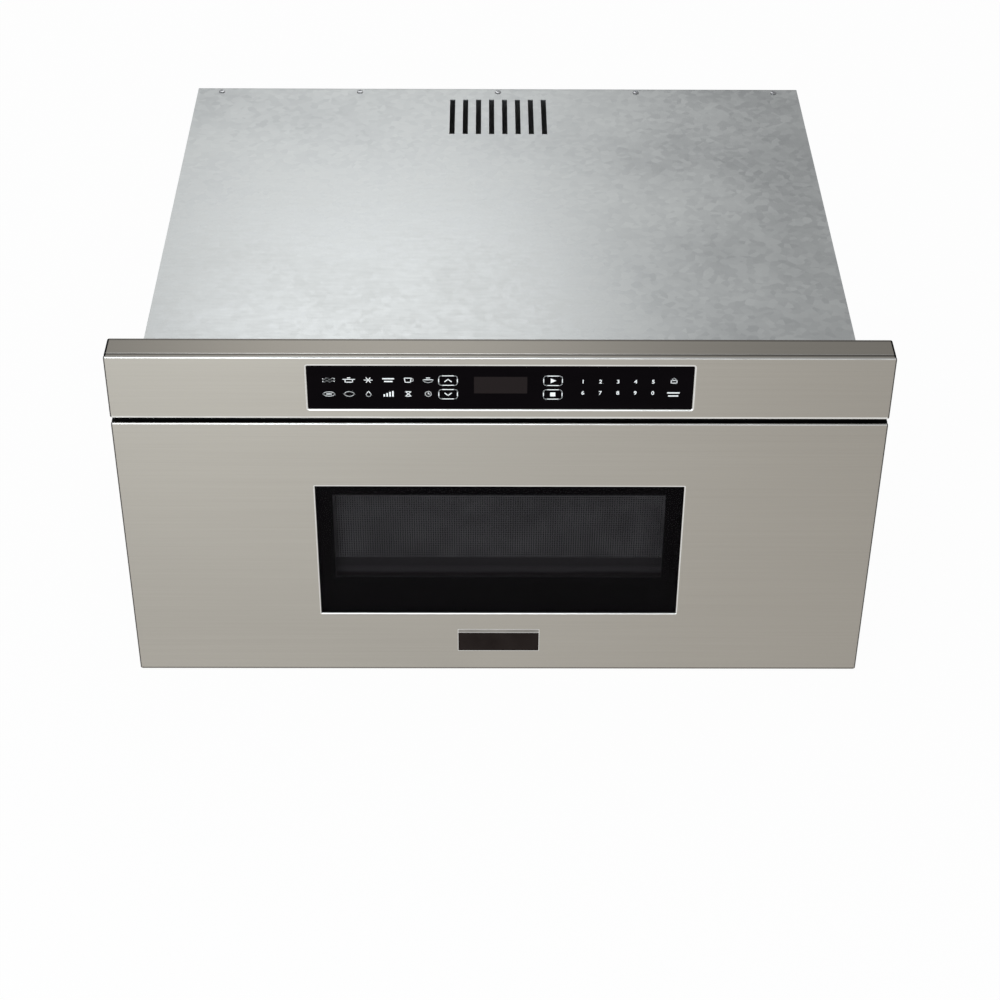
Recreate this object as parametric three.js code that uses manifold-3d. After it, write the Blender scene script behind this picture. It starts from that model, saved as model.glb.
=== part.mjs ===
// Built-in microwave drawer, 30 in wide, in millimetres.
// +X is the user's right, the front faces -Y, +Z is up.
// The origin is on the underside of the base pan, at its centre, in the plane of the cabinet's face.
import * as THREE from "three";
import { mergeVertices } from "three/addons/utils/BufferGeometryUtils.js";
import Module from "manifold-3d";

const wasm = await Module();
wasm.setup();

// ---------------------------------------------------------------- driving dimensions

// Clearances
const SEAT = 0.3; // between two pieces that are fastened face to face
const RUN = 0.4; // between two members of a slide
const BORE_CLEARANCE = 0.08; // radial, round a turning shaft
const MESH_BACKLASH = 0.3; // taken off each tooth at the pitch line

// Stainless front
const FRONT_WIDTH = 760.4;
const FRONT_DEPTH = 32; // face of the panels to the cabinet's face
const PANEL_HEIGHT = 71.8;
const PANEL_GAP = 5.7; // between the control panel and the drawer
const DRAWER_HEIGHT = 321;
const SHELF_OVERHANG = 11; // how far the drawer's front hangs below the shelf
const SKIN = 1;
const SKIN_EDGE = 2.2; // radius of the rolled edges
const SKIN_CORNER = 3;
const BEVEL_WIDTH = 1.7; // coined edge round the openings for glass
const BEVEL_DEPTH = 0.9;

// Control glass
const CONTROL_WIDTH = 373.7;
const CONTROL_HEIGHT = 51.1;
const CONTROL_DROP = 9.5; // top of the panel to the glass
const CONTROL_GLASS = 3;
const GLASS_LAP = 3.6; // glass behind the edge of its opening
const DISPLAY_WIDTH = 54;
const DISPLAY_HEIGHT = 22;
const DISPLAY_DEPTH = 4;
const BOARD = 1.6;
const BOARD_MARGIN = 8;
const HOUSING_WALL = 2;

// Window
const WINDOW_WIDTH = 369.5;
const WINDOW_HEIGHT = 166.1;
const WINDOW_RISE = 77.8; // bottom of the drawer's front to the opening
const WINDOW_GLASS = 4;
const SIGHT_SIDE = 17; // see-through area in from the sides of the opening
const SIGHT_TOP = 15.7;
const SIGHT_BOTTOM = 58;

// Cabinet side
const SIDE_FLANGE = 28.9; // face frame beyond the chassis, each side
const TOP_FLANGE = 18.2;
const FRAME_DEPTH = 8;
const FRAME_LIP = 20; // flat band that bears on the cabinet
const FRAME_TOP_LIP = 12;
const SHEET = 1.2;
const PAN_SHEET = 1.5;
const PAN_FLANGE = 12;
const CHASSIS_DEPTH = 560;
const REAR_BAY = 136; // back of the cavity to the rear panel
const SIDE_BAY = 127.6; // cavity wall to chassis wall
const BASE_BAY = 98; // shelf to the cavity's floor
const RIB_START = 40; // cross shaft to the pan's first rib
const RIB_END = 10; // last rib to the back of the cavity
const RIB_PITCH = 56;
const GLAND_INSET = 45; // cord gland to the chassis wall
const GLAND_RISE = 60;
const TOP_LAND = 27.7; // top of the cavity below the top of the drawer's front

// Cavity and the stirrer well under its floor
const CAVITY_FLANGE = 8;
const CAVITY_CORNER = 8;
const WELL_RADIUS = 95;
const WELL_LEDGE = 10;
const WELL_DEPTH = 14;
const COVER_THICKNESS = 3;
const COVER_CLEARANCE = 1;
const FEED_RADIUS = 22;
const SWAGE_START = 40; // pressed rib in the cavity's side, from its mouth
const SWAGE_END = 30; // and to its back

// Tub
const TUB_CLEARANCE = 6;
const TUB_WALL = 3;
const TUB_DRAFT = 4; // how much narrower the floor is, each side
const TUB_LIP = 3;
const TUB_CORNER = 18;
const TRAY_THICKNESS = 4;

// Slides, arms and drive
const DRAWER_TRAVEL = 381;
const RAIL_LENGTH = 480;
const RAIL_HEIGHT = 45;
const RAIL_WIDTH = 12.7;
const RAIL_WALL = 1.4;
const MEMBER_WALL = 1.2;
const RAIL_CENTRE_Z = 84.5;
const RAIL_START = 8; // front end of the outer member
const ARM_SHEET = 2;
const ARM_OFFSET = 9.8; // cavity wall to the arm
const ARM_FLANGE = 22;
const MODULE = 2.5;
const PINION_TEETH = 16;
const PRESSURE_ANGLE = THREE.MathUtils.degToRad(20);
const PINION_WIDTH = 7.5;
const RACK_WIDTH = 8;
const RACK_BACK = 7; // bar above the roots of the teeth
const RACK_END = 14; // rack left beyond the pinion at both ends of the travel
const SHAFT_Y = 80;
const SHAFT_Z = 30;
const SHAFT_RADIUS = 5;
const BUSH_RADIUS = 8;
const BUSH_FLANGE = 11;
const BRACKET_SHEET = 2;
const BRACKET_FOOT = 16;
const BRACKET_WINDOW = 72;
const BRACKET_WEB = 44; // metal between two windows
const ARM_WINDOW = 52;
const ARM_WEB = 44;
const GEARBOX_SIZE = 44;
const MOTOR_RADIUS = 17;
const MOTOR_LENGTH = 62;

// Door inside the drawer's front
const CHOKE_DEPTH = 14;
const CHOKE_MARGIN = 9; // choke frame beyond the cavity's mouth
const CHOKE_LIP = 10;
const CHOKE_SLOT = 7;
const CHOKE_PITCH = 52;
const SCREEN = 0.6;
const SCREEN_LAP = 6;
const SCREEN_APRON = 24; // plain sheet below the see-through area
const PANE = 1;
const PANE_LAP = 10;

// Latches
const LATCH_INSET = 44.8; // latch to the chassis wall
const LATCH_DROP = 63.7; // latch below the top of the drawer's front
const LATCH_WIDTH = 8;
const LATCH_HEIGHT = 20;
const LATCH_REACH = 22;
const LATCH_ROOM = 3;
const SWITCH_WALL = 4;
const SWITCH_LENGTH = 26;
const SWITCH_HEIGHT = 16;

// Microwave source and cooling
const GUIDE_WIDTH = 86;
const GUIDE_HEIGHT = 30;
const GUIDE_SHEET = 1.5;
const ANTENNA_RADIUS = 78;
const ANTENNA_SHAFT = 3;
const ANTENNA_MOTOR_RADIUS = 25;
const ANTENNA_MOTOR_HEIGHT = 16;
const TUBE_WIDTH = 88; // magnetron, along X
const TUBE_DEPTH = 78;
const TUBE_HEIGHT = 64;
const TUBE_FINS = 6;
const TAB_REACH = 40; // magnetron's axis to the ends of its terminals
const TAB_LENGTH = 20;
const TUBE_BACK = 34; // magnetron to the rear panel
const FAN_RADIUS = 46;
const FAN_BLADES = 5;
const FAN_TIP_GAP = 2.5;
const FAN_X = 76;
const FAN_Z = 116;
const SHROUD_SIZE = 108;
const SHROUD_SHEET = 2;
const FAN_CORE_WIDTH = 52;
const FAN_CORE_HEIGHT = 44;
const FAN_CORE_STACK = 24;
const FRONT_VENT = 34; // length of a slot over the drawer
const VENT_SLOT = 6;
const VENT_PITCH = 15;
const INTAKE_OFFSET = 24; // fan to the near end of its grille
const INTAKE_WIDTH = 90;
const OUTLET_OFFSET = 20; // duct to the near end of the outlet grille
const OUTLET_WIDTH = 80;
const DUCT_OFFSET = 45; // magnetron to the middle of the duct
const DUCT_HALF = 30;
const DUCT_WALL = 2;

// Power parts
const CORE_GAP = 46; // waveguide to the transformer
const CORE_WIDTH = 84;
const CORE_DEPTH = 52;
const CORE_HEIGHT = 70;
const WINDING_REACH = 16; // windings beyond the core, front and back
const WINDING_HEIGHT = 22;
const CAN_GAP = 54; // waveguide to the capacitor
const CAN_WIDTH = 52;
const CAN_HEIGHT = 32;
const CAN_LENGTH = 90;
const DIODE_GAP = 18; // waveguide to the rectifier
const DIODE_LENGTH = 28;
const FILTER_GAP = 8; // line filter to the pan's flange
const FILTER_WIDTH = 66;
const FILTER_DEPTH = 80;
const FILTER_STANDOFF = 8;

// Lamp
const LAMP_DROP = 40; // lamp below the top of the cavity
const LAMP_WIDTH = 36;
const LAMP_HEIGHT = 32;
const LAMP_DEPTH = 30;
const LAMP_SHEET = 1.2;

// ---------------------------------------------------------------- derived places

const frontHalf = FRONT_WIDTH / 2;
const frontY = -FRONT_DEPTH;
const frontBottom = -SHELF_OVERHANG;
const drawerTop = frontBottom + DRAWER_HEIGHT;
const panelBottom = drawerTop + PANEL_GAP;
const frontTop = panelBottom + PANEL_HEIGHT;

const frameHalf = frontHalf - SKIN - SEAT;
const frameTop = frontTop - SKIN - SEAT;
const webY = -FRAME_DEPTH; // front of the face frame
const webBack = webY + SHEET;
const insideY = webBack + SEAT; // where the chassis starts behind the web
const doorBack = webY - SEAT;

const chassisHalf = frameHalf - SIDE_FLANGE;
const chassisTop = frameTop - TOP_FLANGE;
const wallInner = chassisHalf - SHEET;
const cavityHalf = wallInner - SIDE_BAY - SHEET;
const cavityFloor = BASE_BAY;
const cavityTop = drawerTop - TOP_LAND;
const cavityBack = CHASSIS_DEPTH - REAR_BAY;
const cavityOuter = cavityHalf + SHEET;
const rearPanelY = CHASSIS_DEPTH - SHEET;
const bayStart = cavityBack + SHEET; // front of the rear bay
const bayEnd = rearPanelY - SEAT;

const skinBackY = frontY + SKIN + SEAT; // front face of what lies behind a skin
const windowBottom = frontBottom + WINDOW_RISE;
const windowTop = windowBottom + WINDOW_HEIGHT;
const sightHalf = WINDOW_WIDTH / 2 - SIGHT_SIDE;
const sightBottom = windowBottom + SIGHT_BOTTOM;
const sightTop = windowTop - SIGHT_TOP;
const controlTop = frontTop - CONTROL_DROP;
const controlBottom = controlTop - CONTROL_HEIGHT;

const latchX = wallInner - LATCH_INSET;
const latchZ = drawerTop - LATCH_DROP;

const armX = cavityOuter + ARM_OFFSET;
const crownX = armX + ARM_SHEET + SEAT; // inner slide member's face on the arm
const railBackX = crownX + RAIL_WIDTH;
const bracketX = railBackX + SEAT;
const shaftEndX = bracketX + BRACKET_SHEET + GEARBOX_SIZE / 2;
const pitchRadius = (MODULE * PINION_TEETH) / 2;
const tipRadius = pitchRadius + MODULE;
const rootRadius = pitchRadius - 1.25 * MODULE;
const rackPitchZ = SHAFT_Z + pitchRadius;
const rackRootZ = rackPitchZ + 1.25 * MODULE;
const rackTopZ = rackRootZ + RACK_BACK;
const armTopZ = RAIL_CENTRE_Z + RAIL_HEIGHT / 3;
const armBottomZ = rackRootZ;
const rackStartY = SHAFT_Y - RACK_END;
const rackEndY = SHAFT_Y + DRAWER_TRAVEL + RACK_END;

const wellY = (insideY + cavityBack) / 2;
const wellFloor = cavityFloor - WELL_DEPTH;
const guideTop = wellFloor - SHEET - SEAT;
const guideBottom = guideTop - GUIDE_HEIGHT;
const tubeBackY = rearPanelY - TUBE_BACK;
const tubeY = tubeBackY - TUBE_DEPTH / 2;
const tubeBase = guideTop + SEAT;
const tubeTop = tubeBase + TUBE_HEIGHT;
const ductX = -(TUBE_WIDTH / 2 + SEAT + DUCT_OFFSET);

// ---------------------------------------------------------------- solids

// A closed geometry as a solid, turned to face outwards.
function solid(geometry) {
  const bare = new THREE.BufferGeometry();
  bare.setAttribute("position", geometry.getAttribute("position").clone());
  if (geometry.index) bare.setIndex(geometry.index.clone());
  const merged = mergeVertices(bare, 1e-4);
  const vertProperties = new Float32Array(merged.attributes.position.array);
  const triVerts = new Uint32Array(merged.index.array);
  const made = new wasm.Manifold(new wasm.Mesh({ numProp: 3, vertProperties, triVerts }));
  if (made.volume() > 0) return made;
  for (let i = 0; i < triVerts.length; i += 3) {
    [triVerts[i + 1], triVerts[i + 2]] = [triVerts[i + 2], triVerts[i + 1]];
  }
  return new wasm.Manifold(new wasm.Mesh({ numProp: 3, vertProperties, triVerts }));
}

const join = (first, ...rest) => rest.reduce((whole, piece) => whole.add(piece), first);
const cut = (first, ...rest) => rest.reduce((whole, piece) => whole.subtract(piece), first);

// A block between two X, two Y and two Z values.
function block(x0, x1, y0, y1, z0, z1) {
  const geometry = new THREE.BoxGeometry(x1 - x0, y1 - y0, z1 - z0);
  geometry.translate((x0 + x1) / 2, (y0 + y1) / 2, (z0 + z1) / 2);
  return solid(geometry);
}

// Which way an outline's two directions and its extrusion point, for each axis of extrusion.
const BASES = {
  x: [new THREE.Vector3(0, 1, 0), new THREE.Vector3(0, 0, 1), new THREE.Vector3(1, 0, 0)],
  y: [new THREE.Vector3(1, 0, 0), new THREE.Vector3(0, 0, 1), new THREE.Vector3(0, -1, 0)],
  z: [new THREE.Vector3(1, 0, 0), new THREE.Vector3(0, 1, 0), new THREE.Vector3(0, 0, 1)],
};

// An outline extruded between two places on an axis: (y, z) along x, (x, z) along y, (x, y) along z.
function prism(axis, outline, from, to, curveSegments = 4, bevel = {}) {
  const shape = Array.isArray(outline)
    ? new THREE.Shape(outline.map(([u, v]) => new THREE.Vector2(u, v)))
    : outline;
  const depth = to - from;
  const options = { depth, bevelEnabled: false, curveSegments, ...bevel };
  const geometry = new THREE.ExtrudeGeometry(shape, options);
  const basis = new THREE.Matrix4().makeBasis(...BASES[axis]);
  geometry.applyMatrix4(basis);
  const start = axis === "y" ? -to : from;
  geometry.translate(...BASES[axis][2].clone().multiplyScalar(start).toArray());
  return solid(geometry);
}

// A rectangle with round corners.
function roundRect(u0, u1, v0, v1, radius) {
  const r = Math.max(0.01, Math.min(radius, (u1 - u0) / 2 - 0.01, (v1 - v0) / 2 - 0.01));
  const shape = new THREE.Shape();
  shape.moveTo(u0 + r, v0);
  shape.lineTo(u1 - r, v0);
  shape.absarc(u1 - r, v0 + r, r, -Math.PI / 2, 0);
  shape.lineTo(u1, v1 - r);
  shape.absarc(u1 - r, v1 - r, r, 0, Math.PI / 2);
  shape.lineTo(u0 + r, v1);
  shape.absarc(u0 + r, v1 - r, r, Math.PI / 2, Math.PI);
  shape.lineTo(u0, v0 + r);
  shape.absarc(u0 + r, v0 + r, r, Math.PI, 1.5 * Math.PI);
  return shape;
}

// A profile of [radius, distance] points turned round an axis through a centre.
function turned(axis, profile, centre, segments = 32) {
  const points = profile.map(([r, d]) => new THREE.Vector2(r, d));
  const geometry = new THREE.LatheGeometry(points, segments);
  if (axis === "x") geometry.rotateZ(-Math.PI / 2);
  if (axis === "z") geometry.rotateX(Math.PI / 2);
  geometry.translate(...centre);
  return solid(geometry);
}

// A plain rod or, with an inner radius, a ring, from one place to another along an axis.
function rod(axis, radius, from, to, centre, segments = 32, inner = 0) {
  const profile =
    inner > 0
      ? [[inner, from], [radius, from], [radius, to], [inner, to], [inner, from]]
      : [[0, from], [radius, from], [radius, to], [0, to]];
  return turned(axis, profile, centre, segments);
}

// The corner radius of a polygon of so many sides that clears a shaft inside it.
const boreRadius = (radius, clearance, sides) => (radius + clearance) / Math.cos(Math.PI / sides);

// A solid through rings of points, all with the same count, closed by flat ends.
function loft(rings) {
  const count = rings[0].length;
  const positions = rings.flat().flatMap((p) => p);
  const index = [];
  for (let ring = 0; ring < rings.length - 1; ring++) {
    for (let i = 0; i < count; i++) {
      const a = ring * count + i;
      const b = ring * count + ((i + 1) % count);
      index.push(a, b, b + count, a, b + count, a + count);
    }
  }
  const last = (rings.length - 1) * count;
  for (let i = 1; i < count - 1; i++) {
    index.push(0, i + 1, i, last, last + i, last + i + 1);
  }
  const geometry = new THREE.BufferGeometry();
  geometry.setAttribute("position", new THREE.Float32BufferAttribute(positions, 3));
  geometry.setIndex(index);
  return solid(geometry);
}

// A ring of points round a rectangle with round corners, level at height z.
function levelRing(x0, x1, y0, y1, radius, z, steps = 4) {
  const corners = [
    [x1 - radius, y0 + radius, -Math.PI / 2],
    [x1 - radius, y1 - radius, 0],
    [x0 + radius, y1 - radius, Math.PI / 2],
    [x0 + radius, y0 + radius, Math.PI],
  ];
  return corners.flatMap(([cx, cy, start]) =>
    Array.from({ length: steps + 1 }, (_, i) => {
      const angle = start + (i / steps) * (Math.PI / 2);
      return [cx + radius * Math.cos(angle), cy + radius * Math.sin(angle), z];
    }),
  );
}

// Evenly spaced centres that fill a span at about the given pitch.
function spread(from, to, pitch) {
  const count = Math.max(1, Math.round((to - from) / pitch));
  return Array.from({ length: count }, (_, i) => from + ((i + 0.5) * (to - from)) / count);
}

// ---------------------------------------------------------------- meshes

const drawer = new THREE.Group();
const chassis = new THREE.Group();

function add(group, name, piece, colour, roughness, metalness) {
  const mesh = piece.getMesh();
  const positions = new Float32Array(mesh.numVert * 3);
  for (let i = 0; i < mesh.numVert; i++) {
    positions.set(mesh.vertProperties.subarray(i * mesh.numProp, i * mesh.numProp + 3), i * 3);
  }
  const geometry = new THREE.BufferGeometry();
  geometry.setAttribute("position", new THREE.BufferAttribute(positions, 3));
  geometry.setIndex(new THREE.BufferAttribute(mesh.triVerts, 1));
  geometry.computeVertexNormals();
  const material = new THREE.MeshStandardMaterial({ color: colour, roughness, metalness });
  const made = new THREE.Mesh(geometry, material);
  made.name = name;
  group.add(made);
}

const mirrored = (piece) => piece.mirror([1, 0, 0]);

// Adds a right-hand piece and its mirror image.
function addPair(group, name, piece, ...finish) {
  add(group, `${name}_right`, piece, ...finish);
  add(group, `${name}_left`, mirrored(piece), ...finish);
}

const STAINLESS = [0xb3aea2, 0.32, 1];
const ZINC = [0xaeb2b4, 0.42, 0.9];
const BLACK_PAINT = [0x15151a, 0.5, 0.2];
const BLACK_GLASS = [0x0b0a0c, 0.06, 0];
const BLACK_PLASTIC = [0x1b1b1d, 0.6, 0];
const GREY_ENAMEL = [0x9b9c98, 0.4, 0.1];
const TUB_PLASTIC = [0xcfcdc6, 0.5, 0];
const STEEL = [0x8d9093, 0.35, 1];
const CERAMIC = [0xdedad0, 0.45, 0];
const BOARD_GREEN = [0x2c5a3c, 0.55, 0];
const COPPER = [0xa8623a, 0.4, 0.9];
const WHITE_PLASTIC = [0xdcdcd6, 0.5, 0];
const CLEAR = [0xc9d2d2, 0.1, 0];

// ---------------------------------------------------------------- stainless skins

// A pressed block with rolled front edges, open towards the back.
function pillow(x0, x1, z0, z1, yFront, yBack, edge, corner) {
  const inset = roundRect(x0 + edge, x1 - edge, z0 + edge, z1 - edge, corner - edge);
  const bevel = {
    bevelEnabled: true,
    bevelSize: edge,
    bevelThickness: edge,
    bevelSegments: 2,
  };
  const whole = prism("y", inset, yFront + edge, yBack + edge, 2, bevel);
  return cut(whole, block(x0 - 1, x1 + 1, yBack, yBack + 3 * edge, z0 - 1, z1 + 1));
}

// An opening for glass, flared towards the front.
function coinedOpening(x0, x1, z0, z1) {
  const outline = roundRect(x0, x1, z0, z1, 1.5);
  const bevel = {
    bevelEnabled: true,
    bevelSize: BEVEL_WIDTH,
    bevelThickness: BEVEL_DEPTH,
    bevelSegments: 1,
  };
  const flare = prism("y", outline, frontY - 3, frontY, 2, bevel);
  const hole = prism("y", outline, frontY - 3, frontY + 3 * SKIN, 2);
  return join(flare, hole);
}

// A formed shell of sheet with its back open.
function skinShell(z0, z1, yBack) {
  const outer = pillow(-frontHalf, frontHalf, z0, z1, frontY, yBack, SKIN_EDGE, SKIN_CORNER);
  const inner = pillow(
    -frontHalf + SKIN,
    frontHalf - SKIN,
    z0 + SKIN,
    z1 - SKIN,
    frontY + SKIN,
    yBack + 1,
    SKIN_EDGE - SKIN,
    SKIN_CORNER - SKIN,
  );
  return cut(outer, inner);
}

function controlFascia() {
  const shell = skinShell(panelBottom, frontTop, 0);
  const half = CONTROL_WIDTH / 2;
  const opening = coinedOpening(-half, half, controlBottom, controlTop);
  // The bottom return stops short of the face frame.
  const reach = frontHalf - SKIN;
  const relief = block(-reach, reach, doorBack, 1, panelBottom - 1, panelBottom + 2 * SKIN_CORNER);
  return cut(shell, opening, relief);
}

function drawerFront() {
  const shell = skinShell(frontBottom, drawerTop, doorBack);
  const half = WINDOW_WIDTH / 2;
  return cut(shell, coinedOpening(-half, half, windowBottom, windowTop));
}

// ---------------------------------------------------------------- controls

const controlGlassBack = skinBackY + CONTROL_GLASS;
const displayFront = controlGlassBack + SEAT;
const boardFront = displayFront + DISPLAY_DEPTH + SEAT;
const boardHalf = CONTROL_WIDTH / 2 - BOARD_MARGIN;
const boardBottom = controlBottom + 3;
const boardTop = controlTop - 3;

function controlGlass() {
  const half = CONTROL_WIDTH / 2 + GLASS_LAP;
  const outline = roundRect(-half, half, controlBottom - GLASS_LAP, controlTop + GLASS_LAP, 2);
  return prism("y", outline, skinBackY, controlGlassBack, 2);
}

function displayModule() {
  const middle = (controlBottom + controlTop) / 2;
  const low = middle - DISPLAY_HEIGHT / 2;
  const high = middle + DISPLAY_HEIGHT / 2;
  const half = DISPLAY_WIDTH / 2;
  const bodyPiece = block(-half, half, displayFront, displayFront + DISPLAY_DEPTH, low, high);
  const lens = block(-half + 3, half - 3, displayFront - 1, displayFront + 1, low + 3, high - 3);
  return cut(bodyPiece, lens);
}

function controlBoard() {
  const back = boardFront + BOARD;
  const board = block(-boardHalf, boardHalf, boardFront, back, boardBottom, boardTop);
  const middle = (boardBottom + boardTop) / 2;
  const chips = [-0.6, -0.25, 0.2, 0.55].map((share) => {
    const x = share * boardHalf;
    return block(x - 11, x + 11, back - 0.2, back + 3, middle - 7, middle + 7);
  });
  return join(board, ...chips);
}

function controlHousing() {
  const half = boardHalf + SEAT + HOUSING_WALL;
  const low = boardBottom - SEAT - HOUSING_WALL;
  const high = boardTop + SEAT + HOUSING_WALL;
  const front = controlGlassBack + SEAT;
  const outer = block(-half, half, front, doorBack, low, high);
  const room = block(
    -half + HOUSING_WALL,
    half - HOUSING_WALL,
    front - 1,
    doorBack - HOUSING_WALL,
    low + HOUSING_WALL,
    high - HOUSING_WALL,
  );
  const wire = block(-20, 20, doorBack - 2 * HOUSING_WALL, doorBack + 1, low + 12, low + 28);
  return cut(outer, room, wire);
}

// ---------------------------------------------------------------- chassis sheet metal

const panHalf = wallInner - SEAT;

function basePan() {
  const plate = block(-panHalf, panHalf, insideY, bayEnd, 0, PAN_SHEET);
  const flange = (x0, x1) => block(x0, x1, insideY, bayEnd, 0, PAN_FLANGE);
  const left = flange(-panHalf, -panHalf + PAN_SHEET);
  const right = flange(panHalf - PAN_SHEET, panHalf);
  const ribHalf = cavityHalf - 20;
  const ribOutline = (y, grow) => [
    [y - 10 - grow, -1],
    [y + 10 + grow, -1],
    [y + 10 + grow, 0],
    [y + 6 + grow, 3 + grow],
    [y - 6 - grow, 3 + grow],
    [y - 10 - grow, 0],
  ];
  const ribs = spread(SHAFT_Y + RIB_START, cavityBack - RIB_END, RIB_PITCH);
  const raised = ribs.map((y) =>
    prism("x", ribOutline(y, PAN_SHEET), -ribHalf - PAN_SHEET, ribHalf + PAN_SHEET),
  );
  const hollows = ribs.map((y) => prism("x", ribOutline(y, 0), -ribHalf, ribHalf));
  const underside = block(-panHalf - 1, panHalf + 1, insideY - 1, bayEnd + 1, -5, 0);
  return cut(join(plate, left, right, ...raised), underside, ...hollows);
}

const ventLow = cavityFloor + 20;

function chassisWrap() {
  const u = [
    [-chassisHalf, SEAT],
    [-wallInner, SEAT],
    [-wallInner, chassisTop - SHEET],
    [wallInner, chassisTop - SHEET],
    [wallInner, SEAT],
    [chassisHalf, SEAT],
    [chassisHalf, chassisTop],
    [-chassisHalf, chassisTop],
  ];
  const sheet = prism("y", u, insideY, bayEnd);
  const y0 = bayStart + 25;
  const y1 = bayEnd - 25;
  const half = VENT_SLOT / 2;
  const sideSlots = spread(ventLow, ventLow + 6 * VENT_PITCH, VENT_PITCH).map((z) =>
    block(-chassisHalf - 1, chassisHalf + 1, y0, y1, z - half, z + half),
  );
  const topSlots = spread(-4 * VENT_PITCH, 4 * VENT_PITCH, VENT_PITCH).map((x) =>
    block(x - half, x + half, y0, y1, chassisTop - 2 * SHEET, chassisTop + 1),
  );
  return cut(sheet, ...sideSlots, ...topSlots);
}

const glandX = wallInner - GLAND_INSET;
const glandZ = GLAND_RISE;
const GLAND_RADIUS = 9;
const GLAND_BORE = 5;

function rearPanel() {
  const y0 = rearPanelY - 1;
  const y1 = CHASSIS_DEPTH + 1;
  const plate = block(-chassisHalf, chassisHalf, rearPanelY, CHASSIS_DEPTH, 0, chassisTop);
  const half = VENT_SLOT / 2;
  const rows = spread(ventLow - 3 * VENT_PITCH, ventLow + 7 * VENT_PITCH, VENT_PITCH);
  const intakeX = FAN_X + INTAKE_OFFSET;
  const intake = rows.map((z) => block(intakeX, intakeX + INTAKE_WIDTH, y0, y1, z - half, z + half));
  const outletX = ductX - OUTLET_OFFSET;
  const outlet = rows
    .slice(3, 8)
    .map((z) => block(outletX - OUTLET_WIDTH, outletX, y0, y1, z - half, z + half));
  const hole = rod("y", GLAND_RADIUS + 2 * SEAT, y0, y1, [glandX, 0, glandZ], 12);
  return cut(plate, ...intake, ...outlet, hole);
}

function cordGland() {
  const inside = rearPanelY - 8;
  const outside = CHASSIS_DEPTH + 5;
  const r = GLAND_RADIUS;
  const lip = r + 3;
  const profile = [
    [GLAND_BORE, inside],
    [r - 1, inside],
    [lip, rearPanelY - SEAT - 2],
    [lip, rearPanelY - SEAT],
    [r, rearPanelY - SEAT],
    [r, CHASSIS_DEPTH + SEAT],
    [lip, CHASSIS_DEPTH + SEAT],
    [lip, CHASSIS_DEPTH + SEAT + 1.5],
    [r - 1, outside],
    [GLAND_BORE, outside],
    [GLAND_BORE, inside],
  ];
  return turned("y", profile, [glandX, 0, glandZ], 12);
}

const slotInner = armX - 1.5;
const slotOuter = railBackX - RAIL_WALL;
const slotHalfHeight = RAIL_HEIGHT / 2 - RAIL_WALL + 0.6;

function faceFrame() {
  const f = frameHalf;
  const web = block(-f, f, webY, webBack, 0, frameTop);
  const side = block(f - SHEET, f, webY, 0, 0, frameTop);
  const lip = block(f - FRAME_LIP, f, -SHEET, 0, 0, frameTop);
  const top = block(-f, f, webY, 0, frameTop - SHEET, frameTop);
  const topLip = block(-f, f, -SHEET, 0, frameTop - FRAME_TOP_LIP, frameTop);
  const whole = join(web, side, mirrored(side), lip, mirrored(lip), top, topLip);
  const mouth = prism(
    "y",
    roundRect(-cavityHalf, cavityHalf, cavityFloor, cavityTop, CAVITY_CORNER),
    webY - 1,
    webBack + 1,
    3,
  );
  const railSlot = block(
    slotInner,
    slotOuter,
    webY - 1,
    webBack + 1,
    Math.min(armBottomZ, rackPitchZ - MODULE) - 1.5,
    RAIL_CENTRE_Z + slotHalfHeight,
  );
  const latchSlot = block(
    latchX - LATCH_WIDTH / 2 - LATCH_ROOM,
    latchX + LATCH_WIDTH / 2 + LATCH_ROOM,
    webY - 1,
    webBack + 1,
    latchZ - LATCH_HEIGHT / 2 - LATCH_ROOM,
    latchZ + LATCH_HEIGHT / 2 + LATCH_ROOM,
  );
  const ventZ = (cavityTop + drawerTop) / 2 + 2;
  const ventHalf = VENT_SLOT / 2;
  const vents = spread(-cavityHalf, cavityHalf, FRONT_VENT * 1.4).map((x) =>
    block(x - FRONT_VENT / 2, x + FRONT_VENT / 2, webY - 1, webBack + 1, ventZ - ventHalf, ventZ + ventHalf),
  );
  const wires = block(-24, 24, webY - 1, webBack + 1, controlBottom + 14, controlBottom + 34);
  const outline = prism("y", roundRect(-f, f, -FRAME_LIP, frameTop, SKIN_CORNER - SKIN), webY, 0, 3);
  return cut(
    whole.intersect(outline),
    mouth,
    railSlot,
    mirrored(railSlot),
    latchSlot,
    mirrored(latchSlot),
    ...vents,
    wires,
  );
}

// ---------------------------------------------------------------- cavity and microwave source

const lampY = cavityBack * 0.7;
const lampZ = cavityTop - LAMP_DROP;
const ductLow = tubeBase;
const ductHigh = tubeTop - 2;
const airLow = cavityFloor + 8;
const airHigh = ductHigh - 6;

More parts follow.
